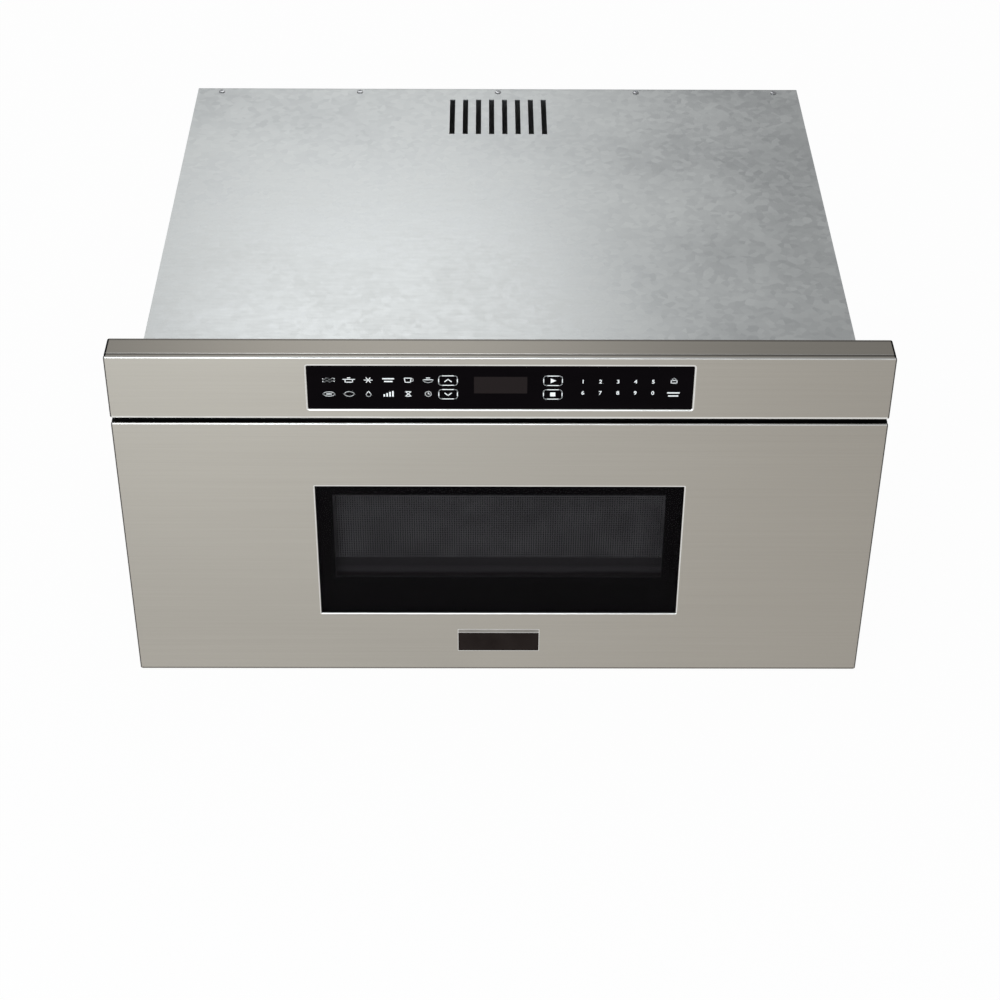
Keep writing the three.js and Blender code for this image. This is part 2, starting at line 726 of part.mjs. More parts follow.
function ovenCavity() {
  const mouth = (grow, y0, y1) =>
    prism(
      "y",
      roundRect(
        -cavityHalf - grow,
        cavityHalf + grow,
        cavityFloor - grow,
        cavityTop + grow,
        CAVITY_CORNER + grow,
      ),
      y0,
      y1,
      3,
    );
  const outer = mouth(SHEET, insideY, cavityBack + SHEET);
  const flange = mouth(CAVITY_FLANGE, insideY, insideY + SHEET);
  const inner = mouth(0, insideY - 1, cavityBack);
  const centre = [0, wellY, 0];
  const ledge = WELL_RADIUS + WELL_LEDGE;
  const ledgeZ = cavityFloor - COVER_THICKNESS - SEAT;
  const wellOuter = join(
    rod("z", ledge + SHEET, ledgeZ - SHEET, cavityFloor, centre, 20),
    rod("z", WELL_RADIUS + SHEET, wellFloor - SHEET, cavityFloor, centre, 20),
  );
  const wellInner = join(
    rod("z", ledge, ledgeZ, cavityFloor + 1, centre, 20),
    rod("z", WELL_RADIUS, wellFloor, cavityFloor + 1, centre, 20),
    rod("z", FEED_RADIUS, wellFloor - 5, cavityFloor, centre, 12),
  );
  const beads = [0.28, 0.55].map((share) => {
    const z = cavityFloor + share * (cavityTop - cavityFloor);
    const line = (grow, half) => [
      [half, z - 7 - grow],
      [half + 3, z - 3 - grow],
      [half + 3, z + 3 + grow],
      [half, z + 7 + grow],
    ];
    const start = SWAGE_START;
    const end = cavityBack - SWAGE_END;
    const raised = prism("y", line(SHEET, cavityHalf), start, end);
    const hollow = prism("y", line(0, cavityHalf - SHEET), start + SHEET, end - SHEET);
    return [join(raised, mirrored(raised)), join(hollow, mirrored(hollow))];
  });
  const lampSlots = [-8, 0, 8].map((dz) => {
    const z = lampZ + dz;
    return block(cavityHalf - 1, cavityOuter + 1, lampY - 12, lampY + 12, z - 1.5, z + 1.5);
  });
  const airSlots = [-12, -4, 4, 12].map((dx) => {
    const x = ductX + dx;
    return block(x - 1.5, x + 1.5, cavityBack - 1, cavityBack + SHEET + 1, airLow, airHigh);
  });
  const body = join(outer, flange, wellOuter, ...beads.map(([raised]) => raised));
  return cut(body, inner, wellInner, ...beads.map(([, hollow]) => hollow), ...lampSlots, ...airSlots);
}

function antennaCover() {
  const top = cavityFloor;
  const r = WELL_RADIUS + WELL_LEDGE - COVER_CLEARANCE;
  const low = top - COVER_THICKNESS;
  const profile = [
    [0, low],
    [r, low],
    [r, top - 0.8],
    [r - 0.8, top],
    [0, top],
  ];
  return turned("z", profile, [0, wellY, 0], 20);
}

const guideHalf = GUIDE_WIDTH / 2;
const guideStart = wellY - FEED_RADIUS - 20;
const guideEnd = tubeY + 30;
const LAUNCH_RADIUS = 12;

function waveguide() {
  const outer = block(-guideHalf, guideHalf, guideStart, guideEnd, guideBottom, guideTop);
  const room = block(
    -guideHalf + GUIDE_SHEET,
    guideHalf - GUIDE_SHEET,
    guideStart + GUIDE_SHEET,
    guideEnd - GUIDE_SHEET,
    guideBottom + GUIDE_SHEET,
    guideTop - GUIDE_SHEET,
  );
  const feed = rod("z", FEED_RADIUS, guideTop - 5, guideTop + 1, [0, wellY, 0], 16);
  const launch = rod("z", LAUNCH_RADIUS, guideTop - 5, guideTop + 1, [0, tubeY, 0], 12);
  const shaftHole = rod("z", ANTENNA_SHAFT + 1.5, guideBottom - 1, guideBottom + 5, [0, wellY, 0], 12);
  const flange = block(-guideHalf - 8, guideHalf + 8, guideStart, guideEnd, guideTop - GUIDE_SHEET, guideTop);
  return cut(join(outer, flange), room, feed, launch, shaftHole);
}

function magnetron() {
  const half = TUBE_WIDTH / 2;
  const y0 = tubeY - TUBE_DEPTH / 2;
  const y1 = tubeY + TUBE_DEPTH / 2;
  const yoke = cut(
    block(-half, half, y0, y1, tubeBase, tubeTop),
    block(-half - 1, half + 1, y0 + 2, y1 - 2, tubeBase + 2, tubeTop - 2),
  );
  const centre = [0, tubeY, 0];
  const anode = rod("z", 19, tubeBase + 1, tubeTop - 1, centre, 12);
  const magnets = [tubeBase + 1, tubeTop - 9].map((z) => rod("z", 27, z, z + 8, centre, 12));
  const finZ = spread(tubeBase + 11, tubeTop - 11, (TUBE_HEIGHT - 22) / TUBE_FINS);
  const fins = finZ.map((z) => block(-half + 4, half - 4, y0 + 1, y1 - 1, z - 0.4, z + 0.4));
  const boxOutline = roundRect(-30, 30, tubeY - 26, tubeY + 26, 4);
  const filterBox = prism("z", boxOutline, tubeTop - 1, tubeTop + 26, 1);
  const tabY = tubeY - TAB_REACH;
  const tabZ = tubeTop + 10;
  const terminals = [-9, 9].map((dx) => block(dx - 3, dx + 3, tabY, tabY + TAB_LENGTH, tabZ, tabZ + 1));
  const profile = [
    [0, guideTop - 20],
    [6, guideTop - 20],
    [7.5, guideTop - 17],
    [7.5, tubeBase + 1],
    [0, tubeBase + 1],
  ];
  const dome = turned("z", profile, centre, 12);
  return join(yoke, anode, ...magnets, ...fins, filterBox, ...terminals, dome);
}

const shaftTopZ = cavityFloor - COVER_THICKNESS - 2.5;

function stirrerAntenna() {
  const centre = [0, wellY, 0];
  const low = wellFloor + 4;
  const steps = 24;
  const lobes = Array.from({ length: steps }, (_, i) => {
    const angle = (i / steps) * 2 * Math.PI;
    const radius = ANTENNA_RADIUS * (0.78 + 0.22 * Math.cos(3 * angle));
    return [radius * Math.cos(angle), wellY + radius * Math.sin(angle)];
  });
  const plate = prism("z", lobes, low, low + SHEET);
  const slots = [0, 1, 2].map((turn) => {
    const slot = prism("z", roundRect(22, 50, -4, 4, 4), low - 1, low + 3, 1);
    return slot.rotate([0, 0, 120 * turn]).translate([0, wellY, 0]);
  });
  const hub = rod("z", 7, low - 2, shaftTopZ, centre, 12);
  const shaft = rod("z", ANTENNA_SHAFT, guideBottom - 8, low, centre, 12);
  return join(cut(plate, ...slots), hub, shaft);
}

function antennaMotor() {
  const top = guideBottom - SEAT;
  const low = top - ANTENNA_MOTOR_HEIGHT;
  const centre = [0, wellY, 0];
  const drum = rod("z", ANTENNA_MOTOR_RADIUS, low, top, centre, 16);
  const earHalf = ANTENNA_MOTOR_RADIUS + 9;
  const ears = block(-earHalf, earHalf, wellY - 7, wellY + 7, top - 1.5, top);
  const bore = rod("z", boreRadius(ANTENNA_SHAFT, BORE_CLEARANCE, 12), top - 9, top + 1, centre, 12);
  const rim = wellY + ANTENNA_MOTOR_RADIUS;
  const plug = block(-8, 8, rim - 4, rim + 8, low + 2, low + 9);
  return cut(join(drum, ears, plug), bore);
}

function exhaustDuct() {
  const x1 = -TUBE_WIDTH / 2 - SEAT;
  const x0 = ductX - DUCT_HALF;
  const y0 = bayStart + SEAT;
  const y1 = tubeBackY;
  const w = DUCT_WALL;
  const outer = prism("z", roundRect(x0, x1, y0, y1, 12), ductLow, ductHigh, 2);
  const room = prism("z", roundRect(x0 + w, x1 - w, y0 + w, y1 - w, 10), ductLow + w, ductHigh - w, 2);
  const inletHalf = TUBE_DEPTH / 3;
  const inlet = block(x1 - 3 * w, x1 + 1, tubeY - inletHalf, tubeY + inletHalf, ductLow + w, ductHigh - w);
  const outletHalf = (DUCT_HALF * 2) / 3;
  const outlet = block(ductX - outletHalf, ductX + outletHalf, y0 - 1, y0 + 3 * w, airLow - 2, airHigh + 2);
  return cut(outer, room, inlet, outlet);
}

// ---------------------------------------------------------------- cooling fan

const fanY = (bayStart + bayEnd) / 2;
const shroudX = FAN_X - 8;
const fanMotorX = FAN_X + 20;

function fanShroud() {
  const y0 = fanY - SHROUD_SIZE / 2;
  const y1 = fanY + SHROUD_SIZE / 2;
  const base = PAN_SHEET + SEAT;
  const top = FAN_Z + SHROUD_SIZE / 2;
  const plate = prism("x", roundRect(y0, y1, base, top, 6), shroudX, shroudX + SHROUD_SHEET, 2);
  const foot = block(shroudX, shroudX + 18, y0 + 6, y1 - 6, base, base + SHROUD_SHEET);
  const centre = [0, fanY, FAN_Z];
  const ringOuter = FAN_RADIUS + FAN_TIP_GAP + 2;
  const collar = rod("x", ringOuter, shroudX, FAN_X + 10, centre, 20);
  const throat = rod("x", FAN_RADIUS + FAN_TIP_GAP, shroudX - 1, FAN_X + 40, centre, 20);
  const legs = [0, 1, 2].map((turn) => {
    const leg = block(FAN_X + 6, fanMotorX, -5, 5, ringOuter - 4, ringOuter);
    const spoke = block(fanMotorX - 2.5, fanMotorX, -5, 5, 10, ringOuter);
    return join(leg, spoke).rotate([120 * turn + 60, 0, 0]).translate([0, fanY, FAN_Z]);
  });
  const hub = rod("x", 18, fanMotorX - 2.5, fanMotorX, centre, 16, 7);
  return join(cut(join(plate, foot, collar), throat), ...legs, hub);
}

function fanMotor() {
  const x0 = fanMotorX + SEAT;
  const centre = [0, fanY, FAN_Z];
  const half = FAN_CORE_WIDTH / 2;
  const high = FAN_CORE_HEIGHT / 2;
  const outline = roundRect(fanY - half, fanY + half, FAN_Z - high, FAN_Z + high, 4);
  const coil = prism("x", outline, x0, x0 + FAN_CORE_STACK, 1);
  const winding = rod("x", 16, x0, x0 + FAN_CORE_STACK + 10, centre, 16);
  const bearing = rod("x", 6, x0 - 4, x0 + 1, centre, 12);
  const bore = rod("x", boreRadius(2, BORE_CLEARANCE, 12), x0 - 5, x0 + 10, centre, 12);
  return cut(join(coil, winding, bearing), bore);
}

function fanImpeller() {
  const hubRadius = 14;
  const centre = [0, fanY, FAN_Z];
  const hub = rod("x", hubRadius, FAN_X - 7, FAN_X + 7, centre, 20);
  const shaft = rod("x", 2, FAN_X, fanMotorX + SEAT + 8, centre, 12);
  const steps = 5;
  const blades = Array.from({ length: FAN_BLADES }, (_, n) => {
    const rings = Array.from({ length: steps }, (_, i) => {
      const share = i / (steps - 1);
      const radius = hubRadius - 3 + share * (FAN_RADIUS - hubRadius + 3);
      const pitch = THREE.MathUtils.degToRad(58 - 28 * share);
      const half = 9 + 9 * share;
      const sweep = 0.35 * share;
      const chord = [
        [-half, -0.9],
        [half, -0.6],
        [half, 0.6],
        [-half, 0.9],
      ];
      return chord.map(([along, across]) => {
        const axial = Math.max(-8.5, Math.min(8.5, along * Math.cos(pitch) - across * Math.sin(pitch)));
        const around = (along * Math.sin(pitch) + across * Math.cos(pitch)) / Math.max(radius, half);
        const angle = sweep + around;
        return [FAN_X + axial, radius * Math.sin(angle), radius * Math.cos(angle)];
      });
    });
    return loft(rings).rotate([(360 / FAN_BLADES) * n, 0, 0]).translate([0, fanY, FAN_Z]);
  });
  return join(hub, shaft, ...blades);
}

// ---------------------------------------------------------------- power parts on the base pan

const padZ = PAN_SHEET + SEAT;
const powerY = (bayStart + bayEnd) / 2;

function hvTransformer() {
  const x1 = -guideHalf - CORE_GAP;
  const x0 = x1 - CORE_WIDTH;
  const y0 = powerY - CORE_DEPTH / 2;
  const y1 = powerY + CORE_DEPTH / 2;
  const feet = block(x0 - 4, x1 + 4, y0 - WINDING_REACH / 2, y1 + WINDING_REACH / 2, padZ, padZ + 2);
  const core = block(x0, x1, y0, y1, padZ, padZ + CORE_HEIGHT);
  const outline = roundRect(x0 + 8, x1 - 8, y0 - WINDING_REACH, y1 + WINDING_REACH, 12);
  const windings = [0.3, 0.7].map((share) => {
    const low = padZ + share * CORE_HEIGHT - WINDING_HEIGHT / 2;
    return prism("z", outline, low, low + WINDING_HEIGHT, 2);
  });
  return join(feet, core, ...windings);
}

const capX = guideHalf + CAN_GAP + CAN_WIDTH / 2;

function hvCapacitor() {
  const y0 = powerY - CAN_LENGTH / 2;
  const y1 = powerY + CAN_LENGTH / 2;
  const half = CAN_WIDTH / 2;
  const low = padZ;
  const high = low + CAN_HEIGHT;
  const can = prism("y", roundRect(capX - half, capX + half, low, high, CAN_HEIGHT / 2), y0, y1, 2);
  const band = roundRect(capX - half - 2, capX + half + 2, low, high + 2, CAN_HEIGHT / 2 + 1);
  const strap = prism("y", band, powerY - 10, powerY + 10, 2);
  const tabs = [capX - 10, capX + 10].map((x) => block(x - 3, x + 3, y0 - 10, y0 + 1, low + 15, low + 16));
  return join(can, strap, ...tabs);
}

function hvRectifier() {
  const x = -guideHalf - DIODE_GAP;
  const y = powerY - 30;
  const foot = block(x - 7, x + 7, y - 7, y + 7, padZ, padZ + 1.5);
  const post = rod("z", 3, padZ, padZ + 10, [x, y, 0], 12);
  const bodyPiece = block(x - 4, x + 4, y - 4, y - 4 + DIODE_LENGTH, padZ + 6, padZ + 14);
  return join(foot, post, bodyPiece);
}

function lineFilter() {
  const x1 = panHalf - PAN_SHEET - FILTER_GAP;
  const x0 = x1 - FILTER_WIDTH;
  const y0 = powerY - FILTER_DEPTH / 2;
  const y1 = powerY + FILTER_DEPTH / 2;
  const boardZ = padZ + FILTER_STANDOFF;
  const standoffs = [x0 + 6, x1 - 6].flatMap((x) =>
    [y0 + 6, y1 - 6].map((y) => rod("z", 4, padZ, boardZ + 1, [x, y, 0], 8)),
  );
  const board = block(x0, x1, y0, y1, boardZ, boardZ + BOARD);
  const choke = rod("z", 15, boardZ, boardZ + 16, [(x0 + x1) / 2, y0 + 24, 0], 12, 7);
  const caps = [-14, 12].map((dx) => {
    const x = (x0 + x1) / 2 + dx;
    return block(x - 9, x + 9, y1 - 26, y1 - 16, boardZ, boardZ + 18);
  });
  return join(board, ...standoffs, choke, ...caps);
}

// ---------------------------------------------------------------- lamp

const BULB_CAP = 8; // radius of the bulb's cap

function lampHousing() {
  const x0 = cavityOuter + SEAT;
  const half = LAMP_WIDTH / 2;
  const high = LAMP_HEIGHT / 2;
  const end = x0 + LAMP_DEPTH;
  const outline = (grow) =>
    roundRect(lampY - half - grow, lampY + half + grow, lampZ - high - grow, lampZ + high + grow, 5 + grow);
  const flangeHalf = half + 6;
  const flangeHigh = high + 4;
  const flange = block(
    x0,
    x0 + SHEET,
    lampY - flangeHalf,
    lampY + flangeHalf,
    lampZ - flangeHigh,
    lampZ + flangeHigh,
  );
  const hood = prism("x", outline(0), x0, end, 2);
  const room = prism("x", outline(-LAMP_SHEET), x0 - 1, end - LAMP_SHEET, 2);
  const socket = rod("x", BULB_CAP + SEAT, end - 10, end + 1, [0, lampY, lampZ], 12);
  return cut(join(flange, hood), room, socket);
}

function lampBulb() {
  const end = cavityOuter + SEAT + LAMP_DEPTH;
  const profile = [
    [0, end - 27],
    [BULB_CAP / 2, end - 26],
    [BULB_CAP - 1, end - 22],
    [BULB_CAP - 0.5, end - 17],
    [BULB_CAP - 2, end - 11],
    [BULB_CAP - 2, end - 5],
    [BULB_CAP, end - 5],
    [BULB_CAP, end + 8],
    [0, end + 8],
  ];
  return turned("x", profile, [0, lampY, lampZ], 12);
}

// ---------------------------------------------------------------- interlocks

function interlockSwitch() {
  const half = LATCH_WIDTH / 2 + LATCH_ROOM;
  const high = LATCH_HEIGHT / 2 + LATCH_ROOM;
  const outerHalf = half + SWITCH_WALL;
  const outerHigh = high + SWITCH_WALL;
  const y0 = insideY;
  const y1 = webY + LATCH_REACH + 2 * SWITCH_WALL;
  const bodyPiece = prism(
    "y",
    roundRect(latchX - outerHalf, latchX + outerHalf, latchZ - outerHigh, latchZ + outerHigh, 3),
    y0,
    y1,
    2,
  );
  const roomEnd = y1 - SWITCH_WALL + 1;
  const room = block(latchX - half, latchX + half, y0 - 1, roomEnd, latchZ - high, latchZ + high);
  const switches = [-1, 1].map((side) => {
    const z = latchZ + side * (outerHigh + SWITCH_HEIGHT / 2 - 1);
    const low = z - SWITCH_HEIGHT / 2;
    return block(latchX - 5, latchX + 5, y0 + 2, y0 + 2 + SWITCH_LENGTH, low, low + SWITCH_HEIGHT);
  });
  return cut(join(bodyPiece, ...switches), room);
}

function latchHead() {
  const y0 = webY;
  const reach = y0 + LATCH_REACH;
  const z = latchZ;
  const h = LATCH_HEIGHT / 2;
  const outline = [
    [y0, z - h],
    [y0 + 4, z - h],
    [y0 + 6, z - h / 2],
    [reach - 9, z - h / 2],
    [reach - 9, z - h / 3],
    [reach - 4, z - h / 3],
    [reach, z + h / 8],
    [reach - 3, z + h / 2],
    [y0 + 6, z + h / 2],
    [y0 + 4, z + h],
    [y0, z + h],
  ];
  return prism("x", outline, latchX - LATCH_WIDTH / 2, latchX + LATCH_WIDTH / 2);
}

// ---------------------------------------------------------------- slides

// Profiles of the slide's members: t runs from the outer member's back towards the cavity,
// h from the centre line up.
function railPrism(profile, y0, y1) {
  const upper = profile.map(([t, h]) => [railBackX - t, RAIL_CENTRE_Z + h]);
  const lower = [...profile].reverse().map(([t, h]) => [railBackX - t, RAIL_CENTRE_Z - h]);
  return prism("y", [...upper, ...lower], y0, y1);
}

const outerHalf = RAIL_HEIGHT / 2;
const middleHalf = outerHalf - RAIL_WALL - RUN;
const innerHalf = middleHalf - MEMBER_WALL - RUN;
const outerMouth = RAIL_WIDTH - 0.7;
const middleFront = outerMouth - RAIL_WALL - RUN;
const brimFront = middleFront - MEMBER_WALL - RUN;
const LIP = 4.2;

function slideOuter() {
  const profile = [
    [0, outerHalf],
    [outerMouth, outerHalf],
    [outerMouth, outerHalf - LIP],
    [outerMouth - RAIL_WALL, outerHalf - LIP],
    [outerMouth - RAIL_WALL, outerHalf - RAIL_WALL],
    [RAIL_WALL, outerHalf - RAIL_WALL],
  ];
  return railPrism(profile, RAIL_START, RAIL_START + RAIL_LENGTH);
}

function slideMiddle() {
  const back = RAIL_WALL + RUN;
  const profile = [
    [back, middleHalf],
    [middleFront, middleHalf],
    [middleFront, middleHalf - LIP],
    [middleFront - MEMBER_WALL, middleHalf - LIP],
    [middleFront - MEMBER_WALL, middleHalf - MEMBER_WALL],
    [back + MEMBER_WALL, middleHalf - MEMBER_WALL],
  ];
  return railPrism(profile, RAIL_START, RAIL_START + RAIL_LENGTH - 20);
}

function slideInner() {
  const wall = middleHalf - LIP - RUN;
  const crownBack = RAIL_WIDTH - MEMBER_WALL;
  const upper = [
    [brimFront - MEMBER_WALL, innerHalf],
    [brimFront, innerHalf],
    [brimFront, wall],
    [RAIL_WIDTH, wall],
  ];
  const inside = [
    [crownBack, wall - MEMBER_WALL],
    [brimFront - MEMBER_WALL, wall - MEMBER_WALL],
  ];
  const at = ([t, h]) => [railBackX - t, RAIL_CENTRE_Z + h];
  const flip = ([t, h]) => [t, -h];
  const outline = [
    ...upper,
    ...[...upper].reverse().map(flip),
    ...[...inside].reverse().map(flip),
    ...inside,
  ].map(at);
  return prism("y", outline, doorBack + 8, RAIL_START + RAIL_LENGTH - 30);
}

function railBracket() {
  const x0 = bracketX;
  const x1 = bracketX + BRACKET_SHEET;
  const y0 = RAIL_START - 2;
  const y1 = RAIL_START + RAIL_LENGTH;
  const top = RAIL_CENTRE_Z + outerHalf + 4;
  const plate = block(x0, x1, y0, y1, padZ, top);
  const foot = block(x0, x1 + BRACKET_FOOT, y0, y1, padZ, padZ + BRACKET_SHEET);
  const bushHole = rod("x", BUSH_RADIUS + SEAT, x0 - 1, x1 + 1, [0, SHAFT_Y, SHAFT_Z], 16);
  const first = SHAFT_Y + GEARBOX_SIZE / 2 + BRACKET_WEB;
  const half = BRACKET_WINDOW / 2;
  const low = padZ + 12;
  const high = RAIL_CENTRE_Z - outerHalf - 8;
  const windows = spread(first, y1 - BRACKET_WEB / 2, BRACKET_WINDOW + BRACKET_WEB).map((y) =>
    prism("x", roundRect(y - half, y + half, low, high, 8), x0 - 1, x1 + 1, 1),
  );
  return cut(join(plate, foot), bushHole, ...windows);
}

// ---------------------------------------------------------------- rack and pinion drive

// One flank of an involute tooth as [radius, half angle] points, root to tip.
function involuteFlank(steps) {
  const baseRadius = pitchRadius * Math.cos(PRESSURE_ANGLE);
  const involute = (angle) => Math.tan(angle) - angle;
  const halfPitchAngle = Math.PI / (2 * PINION_TEETH) - MESH_BACKLASH / (2 * pitchRadius);
  return Array.from({ length: steps + 1 }, (_, i) => {
    const radius = baseRadius + (i / steps) * (tipRadius - baseRadius);
    const angle = Math.acos(baseRadius / radius);
    return [radius, halfPitchAngle + involute(PRESSURE_ANGLE) - involute(angle)];
  });
}

function pinion() {
  const flank = involuteFlank(2);
  const shape = [];
  for (let tooth = 0; tooth < PINION_TEETH; tooth++) {
    // A tooth's gap points straight up at rest, where it takes a tooth of the rack.
    const middle = Math.PI / 2 + ((tooth + 0.5) / PINION_TEETH) * 2 * Math.PI;
    const polar = (radius, angle) => [
      SHAFT_Y + radius * Math.cos(angle),
      SHAFT_Z + radius * Math.sin(angle),
    ];
    shape.push(polar(rootRadius, middle - flank[0][1]));
    flank.forEach(([radius, half]) => shape.push(polar(radius, middle - half)));
    [...flank].reverse().forEach(([radius, half]) => shape.push(polar(radius, middle + half)));
    shape.push(polar(rootRadius, middle + flank[0][1]));
  }
  const x0 = armX + ARM_SHEET + SEAT + (RACK_WIDTH - PINION_WIDTH) / 2;
  const x1 = x0 + PINION_WIDTH;
  const gear = prism("x", shape, x0, x1);
  const hub = rod("x", 9, x0 + 1, x1 + 2, [0, SHAFT_Y, SHAFT_Z], 16);
  const bore = rod("x", SHAFT_RADIUS + SEAT, x0 - 1, x1 + 3, [0, SHAFT_Y, SHAFT_Z], 16);
  return cut(join(gear, hub), bore);
}

function driveShaft() {
  const centre = [0, SHAFT_Y, SHAFT_Z];
  const left = -(bracketX + BRACKET_SHEET + 6);
  const profile = [
    [0, left],
    [SHAFT_RADIUS - 0.8, left],
    [SHAFT_RADIUS, left + 0.8],
    [SHAFT_RADIUS, shaftEndX - 0.8],
    [SHAFT_RADIUS - 0.8, shaftEndX],
    [0, shaftEndX],
  ];
  return turned("x", profile, centre, 16);
}

function shaftBush() {
  const bore = boreRadius(SHAFT_RADIUS, BORE_CLEARANCE, 16);
  const inner = bracketX - SEAT - 2;
  const outer = bracketX + BRACKET_SHEET + SEAT;
  const profile = [
    [bore, inner],
    [BUSH_FLANGE, inner],
    [BUSH_FLANGE, bracketX - SEAT],
    [BUSH_RADIUS, bracketX - SEAT],
    [BUSH_RADIUS, outer],
    [bore, outer],
    [bore, inner],
  ];
  return turned("x", profile, [0, SHAFT_Y, SHAFT_Z], 16);
}

function driveGearmotor() {
  const x0 = bracketX + BRACKET_SHEET + 2 * SEAT;
  const x1 = x0 + GEARBOX_SIZE;
  const low = padZ + BRACKET_SHEET + 2;
  const high = SHAFT_Z + GEARBOX_SIZE / 2;
  const half = GEARBOX_SIZE / 2;
  const gearbox = prism("x", roundRect(SHAFT_Y - half, SHAFT_Y + half, low, high, 6), x0, x1, 2);
  const wormX = x0 + half + 4;
  const wormZ = SHAFT_Z + 4;
  const canStart = SHAFT_Y + half - 2;
  const can = rod("y", MOTOR_RADIUS, canStart, canStart + MOTOR_LENGTH, [wormX, 0, wormZ], 16);
  const cap = rod("y", 6, canStart, canStart + MOTOR_LENGTH + 5, [wormX, 0, wormZ], 12);
  const axle = [0, SHAFT_Y, SHAFT_Z];
  const boss = rod("x", 11, x0 + 1, x1 + 4, axle, 16);
  const bore = rod("x", boreRadius(SHAFT_RADIUS, BORE_CLEARANCE, 16), x0 - 1, shaftEndX + 1, axle, 20);
  return cut(join(gearbox, can, cap, boss), bore);
}

function rack() {
  const pitch = Math.PI * MODULE;
  const slope = Math.tan(PRESSURE_ANGLE);
  const halfAtPitch = pitch / 4 - MESH_BACKLASH / 2;
  const tipZ = rackPitchZ - MODULE;
  const tipHalf = halfAtPitch - MODULE * slope;
  const rootHalf = halfAtPitch + 1.25 * MODULE * slope;
  const first = Math.ceil((rackStartY - SHAFT_Y + rootHalf) / pitch);
  const last = Math.floor((rackEndY - SHAFT_Y - rootHalf) / pitch);
  const outline = [[rackStartY, rackTopZ], [rackStartY, rackRootZ]];
  for (let n = first; n <= last; n++) {
    const y = SHAFT_Y + n * pitch;
    outline.push([y - rootHalf, rackRootZ], [y - tipHalf, tipZ]);
    outline.push([y + tipHalf, tipZ], [y + rootHalf, rackRootZ]);
  }
  outline.push([rackEndY, rackRootZ], [rackEndY, rackTopZ]);
  const x0 = armX + ARM_SHEET + SEAT;
  return prism("x", outline, x0, x0 + RACK_WIDTH);
}

// ---------------------------------------------------------------- drawer

const pressingBack = doorBack;
const pressingFront = pressingBack - SHEET;
const armFlangeY1 = pressingFront - SEAT;
const chokeHalf = cavityHalf + CHOKE_MARGIN;
const chokeLow = cavityFloor - CHOKE_MARGIN;
const chokeHigh = cavityTop + CHOKE_MARGIN;

function drawerArm() {
  const x0 = armX;
  const x1 = armX + ARM_SHEET;
  const plate = block(x0, x1, armFlangeY1 - ARM_SHEET, rackEndY, armBottomZ, armTopZ);
  const flange = block(x0, x0 + ARM_FLANGE, armFlangeY1 - ARM_SHEET, armFlangeY1, armBottomZ, armTopZ);
  const half = ARM_WINDOW / 2;
  const windows = spread(SHAFT_Y, rackEndY - ARM_WEB / 2, ARM_WINDOW + ARM_WEB).map((y) =>
    prism("x", roundRect(y - half, y + half, rackTopZ + 3, armTopZ - 8, 7), x0 - 1, x1 + 1, 1),
  );
  return cut(join(plate, flange), ...windows);
}

function doorPressing() {
  const half = frontHalf - SKIN - SEAT;
  const low = frontBottom + SKIN + SEAT;
  const high = drawerTop - SKIN - SEAT;
  const front = frontY + SKIN_EDGE + 1;
  const tray = cut(
    prism("y", roundRect(-half, half, low, high, 2), front, pressingBack, 2),
    block(-half + SHEET, half - SHEET, front - 1, pressingFront, low + SHEET, high - SHEET),
  );
  const opening = block(
    -chokeHalf - SEAT,
    chokeHalf + SEAT,
    pressingFront - 1,
    pressingBack + 1,
    chokeLow - SEAT,
    chokeHigh + SEAT,
  );
  const armSlot = block(
    armX - SEAT,
    armX + ARM_SHEET + SEAT,
    pressingFront - 1,
    pressingBack + 1,
    armBottomZ - SEAT,
    Math.min(armTopZ + SEAT, high),
  );
  const ribZ = chokeHigh + (high - chokeHigh) / 2;
  return cut(tray, opening, armSlot, mirrored(armSlot)).add(
    block(-half + 40, half - 40, pressingFront - 3, pressingFront + 0.2, ribZ - 3, ribZ + 3),
  );
}

function chokeFrame() {
  const back = pressingFront - 0.1;
  const front = back - CHOKE_DEPTH;
  const outer = block(-chokeHalf, chokeHalf, front, back, chokeLow, chokeHigh);
  const channel = block(
    -chokeHalf + SHEET,
    chokeHalf - SHEET,
    front + SHEET,
    back - SHEET,
    chokeLow + SHEET,
    chokeHigh - SHEET,
  );
  const throatHalf = chokeHalf - CHOKE_LIP;
  const throatLow = chokeLow + CHOKE_LIP;
  const throatHigh = chokeHigh - CHOKE_LIP;
  const throat = block(-throatHalf, throatHalf, front - 1, back - SHEET, throatLow, throatHigh);
  const sight = prism("y", roundRect(-sightHalf, sightHalf, sightBottom, sightTop, 2), back - 5, back + 1, 2);
  const slotY0 = front - 1;
  const slotY1 = back - SHEET - 2;
  const across = spread(-chokeHalf + 6, chokeHalf - 6, CHOKE_PITCH).map((x) =>
    block(x - CHOKE_SLOT / 2, x + CHOKE_SLOT / 2, slotY0, slotY1, chokeLow - 1, chokeHigh + 1),
  );
  const up = spread(chokeLow + 6, chokeHigh - 6, CHOKE_PITCH).map((z) =>
    block(-chokeHalf - 1, chokeHalf + 1, slotY0, slotY1, z - CHOKE_SLOT / 2, z + CHOKE_SLOT / 2),
  );
  return cut(outer, channel, throat, sight, ...across, ...up);
}

function chokeCover() {
  const outline = roundRect(-chokeHalf, chokeHalf, chokeLow, chokeHigh, 4);
  const plate = prism("y", outline, pressingBack - PANE, pressingBack, 2);
  const half = sightHalf + PANE_LAP + SEAT;
  const opening = prism(
    "y",
    roundRect(-half, half, sightBottom - PANE_LAP - SEAT, sightTop + PANE_LAP + SEAT, 5),
    pressingBack - 2 * PANE,
    pressingBack + 1,
    2,
  );
  return cut(plate, opening);
}

function innerPane() {
  const half = sightHalf + PANE_LAP;
  const outline = roundRect(-half, half, sightBottom - PANE_LAP, sightTop + PANE_LAP, 5);
  return prism("y", outline, pressingBack - PANE, pressingBack, 2);
}

